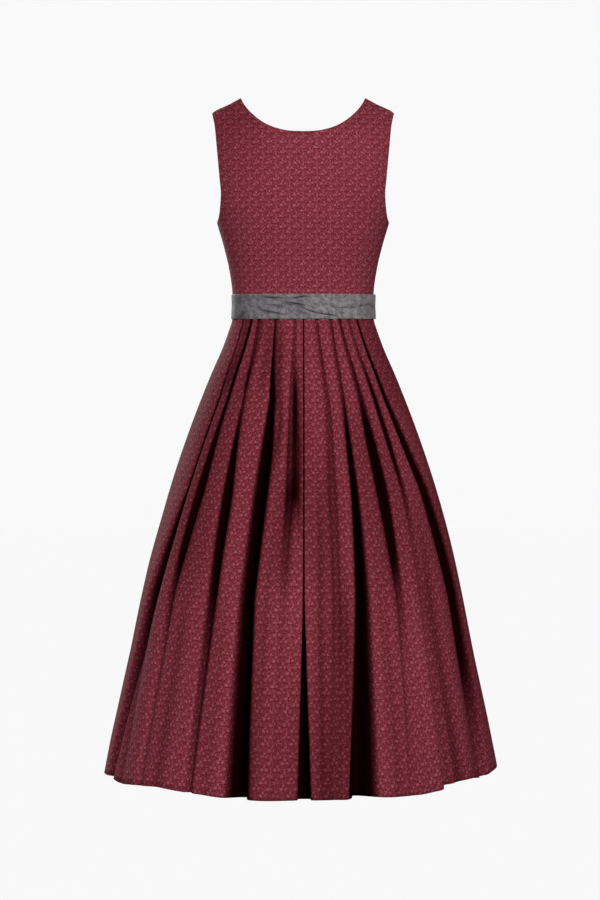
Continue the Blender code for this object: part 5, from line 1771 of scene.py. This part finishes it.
def lit_runs(line, shade):
    """The parts of a line that lie in the light, and not down in a fold"""
    points, outward = line
    lit = np.flatnonzero(shade < IN_LIGHT)
    runs = np.split(lit, np.flatnonzero(np.diff(lit) > 1) + 1)
    return [(points[run], outward[run]) for run in runs if len(run) > SHORTEST_RUN]


hem_line = net_line(back_net, row=SKIRT_ROWS - 2)
print("stretches of the back hem in the light:", len(lit_runs(hem_line, back_shade[-2])))

# %% Sew the bodice's edges
EDGE_IN = 0.006
EDGE_POINTS = 120
PLACKET_X = 0.0095
PLACKET_POINTS = 60
PLACKET_LIFT = 0.0004
PLACKET_BOTTOM_Z = WAIST_SEAM_Z + 0.002
PLACKET_TOP_Z = -FRONT_NECK_DROP - 0.004


def bodice_stitches(name, side, hands):
    """Neck and armhole, and the button edge in front, on the right half, the left one or both"""
    lines = [edge_line(path(side, EDGE_POINTS), side, EDGE_IN * side) for path in (neck_path, armhole_path)]
    if side == FRONT:
        z = np.linspace(PLACKET_BOTTOM_Z, PLACKET_TOP_Z, PLACKET_POINTS)
        out = np.tile([0.0, 1.0, 0.0], (len(z), 1))
        lines.append((form_points(PLACKET_X, z, side) + PLACKET_LIFT * out, out))
    mirrored = [(points * MIRROR, out * MIRROR) for points, out in lines]
    sewn_lines = {"both": lines + mirrored, "right": lines, "left": mirrored}[hands]
    return sewn(name, sewn_lines, wine_thread)


back_stitches = bodice_stitches("bodice_back_stitches", BACK, "both")
right_stitches = bodice_stitches("bodice_right_stitches", FRONT, "right")
left_stitches = bodice_stitches("bodice_left_stitches", FRONT, "left")

# %% Sew the hems
SKIRT_HEM_ROW = SKIRT_ROWS - 2.8
APRON_HEM_ROW = APRON_ROWS - 2.4
APRON_EDGE_COLUMNS = (3, -4)


def hem_stitches(name, net, shade):
    hem = net_line(net, row=SKIRT_HEM_ROW, lift=0.5 * COTTON_WALL + THREAD_LIFT)
    return sewn(name, lit_runs(hem, shade[-2]), wine_thread)


back_hem_stitches = hem_stitches("skirt_back_stitches", back_net, back_shade)
front_hem_stitches = hem_stitches("skirt_front_stitches", front_net, front_shade)
apron_out = 0.5 * APRON_WALL + THREAD_LIFT
apron_lines = [net_line(apron_net, row=APRON_HEM_ROW, lift=apron_out)]
for column in APRON_EDGE_COLUMNS:
    apron_lines.append(net_line(apron_net[:-TURNED_ROWS], column=column, lift=apron_out))
apron_stitches = sewn("apron_stitches", apron_lines, grey_thread)

# %% Sew the band, the tie and the tails
STRIP_ROWS = (3, BAND_ROWS - 4)
BARE_BAND = (-179, -37)
TIE_FREE_COLUMN = 40
TAIL_LIFT = 0.0006
bare = (angles > BARE_BAND[0]) & (angles < BARE_BAND[1])
band_lift = 0.5 * BAND_WALL + THREAD_LIFT
band_lines = [net_line(ring_net[:, bare], row=row, lift=band_lift) for row in STRIP_ROWS]
band_stitches = sewn("band_stitches", band_lines, grey_thread)
tie_lift = 0.5 * TIE_WALL + THREAD_LIFT
# the upper row of stitches starts where the tie is wide enough for two
tie_lines = [net_line(tie_net[:, TIE_FREE_COLUMN:], row=STRIP_ROWS[0], lift=tie_lift),
             net_line(tie_net, row=STRIP_ROWS[1], lift=tie_lift)]
tie_stitches = sewn("tie_stitches", tie_lines, grey_thread)
tail_stitches = {}
for side_name, net in tail_nets.items():
    tail_lines = [net_line(net, column=1, lift=TAIL_LIFT), net_line(net, column=-2, lift=TAIL_LIFT),
                  net_line(net, row=TAIL_ROWS - 2, lift=TAIL_LIFT)]
    name = "bow_tail_" + side_name + "_stitches"
    tail_stitches[side_name] = sewn(name, tail_lines, grey_thread)

# %% [markdown]
# ## What each piece was cut to
# A sheet of cloth keeps the size it was cut to, however it is folded afterwards. The table gives the width
# and length of each piece on the cutting table, and its area where it isn't a rectangle.

CUTS = [
    (bodice_back, (0.400, 0.385), 0.123, "hung", [], [back_stitches]),
    (bodice_right, (0.222, 0.385), 0.054, "hung", [bodice_back], [right_stitches]),
    (bodice_left, (0.205, 0.385), 0.050, "hung", [bodice_back], [left_stitches]),
    (skirt_back, (1.330, 0.880), 0.862, "gathered", [bodice_back], [back_hem_stitches]),
    (skirt_front, (1.200, 0.870), 0.786, "gathered", [bodice_right, bodice_left], [front_hem_stitches]),
    (apron_band, (0.691, 0.044), None, "stretched", [bodice_back, skirt_back], [band_stitches]),
    (tie_over, (0.385, 0.044), 0.0146, "stretched", [apron_band], [tie_stitches]),
    (apron_skirt, (0.800, 0.775), 0.435, "gathered", [apron_band], [apron_stitches]),
    (loops["right"], (0.122, 0.046), 0.0048, "folded", [bow_knot], []),
    (loops["left"], (0.122, 0.046), 0.0050, "folded", [bow_knot], []),
    (tails["right"], (0.046, 0.340), 0.0144, "hung", [bow_knot], [tail_stitches["right"]]),
    (tails["left"], (0.046, 0.313), 0.0135, "hung", [bow_knot], [tail_stitches["left"]]),
]
for piece, cut, area, held, holders, stitches in CUTS:
    surface = sum(face.area for face in piece.data.polygons)
    print(piece.name, "was cut to", cut, "and measures", round(surface, 4), "square metres")

# %% [markdown]
# ## Camera, floor and light
# The photograph is taken square on at chest height from some way off, against white. The camera stands five
# metres behind the dress with a long lens and tips down a little, so the hem curves as much as it does there.

# %% Camera
CAMERA_X = -0.0054
CAMERA_Z = -0.4356
AIM_Z = -0.6336
CAMERA_AWAY = 5.0
camera_data = bpy.data.cameras.new("camera")
camera_data.lens = 111.1
camera_data.sensor_width = 36.0
tip_down = math.atan((CAMERA_Z - AIM_Z) / CAMERA_AWAY)
camera = into_scene("camera", camera_data)
camera.location = (CAMERA_X, -CAMERA_AWAY, CAMERA_Z)
camera.rotation_euler = (math.pi / 2 - tip_down, 0.0, 0.0)
bpy.context.scene.camera = camera
print("camera tips down by", round(math.degrees(tip_down), 2), "degrees")

# %% [markdown]
# The floor and the walls are one pale sheet all round, bent in a wide curve so that no corner shows. The
# sheet glows evenly by itself, which keeps it white from every side without more lamps.

# %% Floor and backdrop
FLOOR_Z = -1.45
BEND = 3.0
ROOM = 13.0
WALL_TOP_Z = 10.0
BEND_STEPS = 16
ROOM_SIDES = 64
profile = [(ROOM - BEND, FLOOR_Z)]
for k in range(1, BEND_STEPS + 1):
    turn = 0.5 * math.pi * k / BEND_STEPS
    profile.append((ROOM - BEND + BEND * math.sin(turn), FLOOR_Z + BEND - BEND * math.cos(turn)))
profile.append((ROOM, WALL_TOP_Z))
around_room = [(math.cos(math.tau * k / ROOM_SIDES), math.sin(math.tau * k / ROOM_SIDES))
               for k in range(ROOM_SIDES)]
backdrop_points = [(radius * x, radius * y, z) for radius, z in profile for x, y in around_room]
backdrop_faces = [list(range(ROOM_SIDES))]
for ring in range(len(profile) - 1):
    for k in range(ROOM_SIDES):
        near, far = ROOM_SIDES * ring + k, ROOM_SIDES * ring + (k + 1) % ROOM_SIDES
        backdrop_faces.append((near, far, far + ROOM_SIDES, near + ROOM_SIDES))
backdrop_mesh = bpy.data.meshes.new("backdrop")
backdrop_mesh.from_pydata(backdrop_points, [], backdrop_faces)
backdrop_mesh.shade_smooth()
backdrop = into_scene("backdrop", backdrop_mesh)
paper = Drawing("white_paper")
paper.shader.inputs["Specular IOR Level"].default_value = 0.0
paper.shader.inputs["Emission Color"].default_value = (1.0, 1.0, 1.0, 1.0)
paper.shader.inputs["Emission Strength"].default_value = 0.94
backdrop_mesh.materials.append(paper.finished((0.05, 0.05, 0.05, 1.0), 1.0))
# the paper is only seen: it throws no light back on the dress, as if it stood far behind it
backdrop.visible_diffuse = False
backdrop.visible_glossy = False
print("faces of the backdrop:", len(backdrop_mesh.polygons))

# %% [markdown]
# The key light is broad and soft from above the camera, with a weaker one on the left to fill its shadows.
# Lights at the sides and a second key light in front let the dress be looked at from every side.

# %% Light
# columns: place, aim, width and height in metres, power in watts, whether it shows as a gloss
LIGHTS = {
    "key": ((1.1, -4.2, 0.9), (0.0, 0.0, -0.5), (1.6, 1.6), 205.0, True),
    "fill": ((-2.4, -3.8, 0.4), (0.0, 0.0, -0.7), (1.6, 2.2), 72.0, True),
    "left": ((-4.4, 0.2, 0.3), (0.0, 0.0, -0.8), (1.4, 2.4), 28.0, False),
    "right": ((4.4, 0.2, 0.3), (0.0, 0.0, -0.8), (1.4, 2.4), 28.0, False),
    "front": ((-2.5, 3.7, 1.0), (0.0, 0.0, -0.5), (1.6, 1.6), 235.0, True),
}
WORLD_STRENGTH = 0.95


def soft_light(name, place, aim, size, power, glossy):
    data = bpy.data.lights.new(name, "AREA")
    data.shape = "RECTANGLE"
    data.size, data.size_y = size
    data.energy = power
    made = into_scene(name, data)
    made.location = place
    made.rotation_mode = "QUATERNION"
    made.rotation_quaternion = (Vector(aim) - Vector(place)).to_track_quat("-Z", "Y")
    made.visible_camera = False
    made.visible_glossy = glossy


for name, settings in LIGHTS.items():
    soft_light(name, *settings)
world = bpy.data.worlds.new("studio")
world.use_nodes = True
background = world.node_tree.nodes["Background"]
background.inputs["Color"].default_value = (1.0, 1.0, 1.0, 1.0)
background.inputs["Strength"].default_value = WORLD_STRENGTH
world.cycles_visibility.diffuse = False
world.cycles_visibility.glossy = False
bpy.context.scene.world = world
bpy.context.scene.view_settings.view_transform = "Standard"

# %% [markdown]
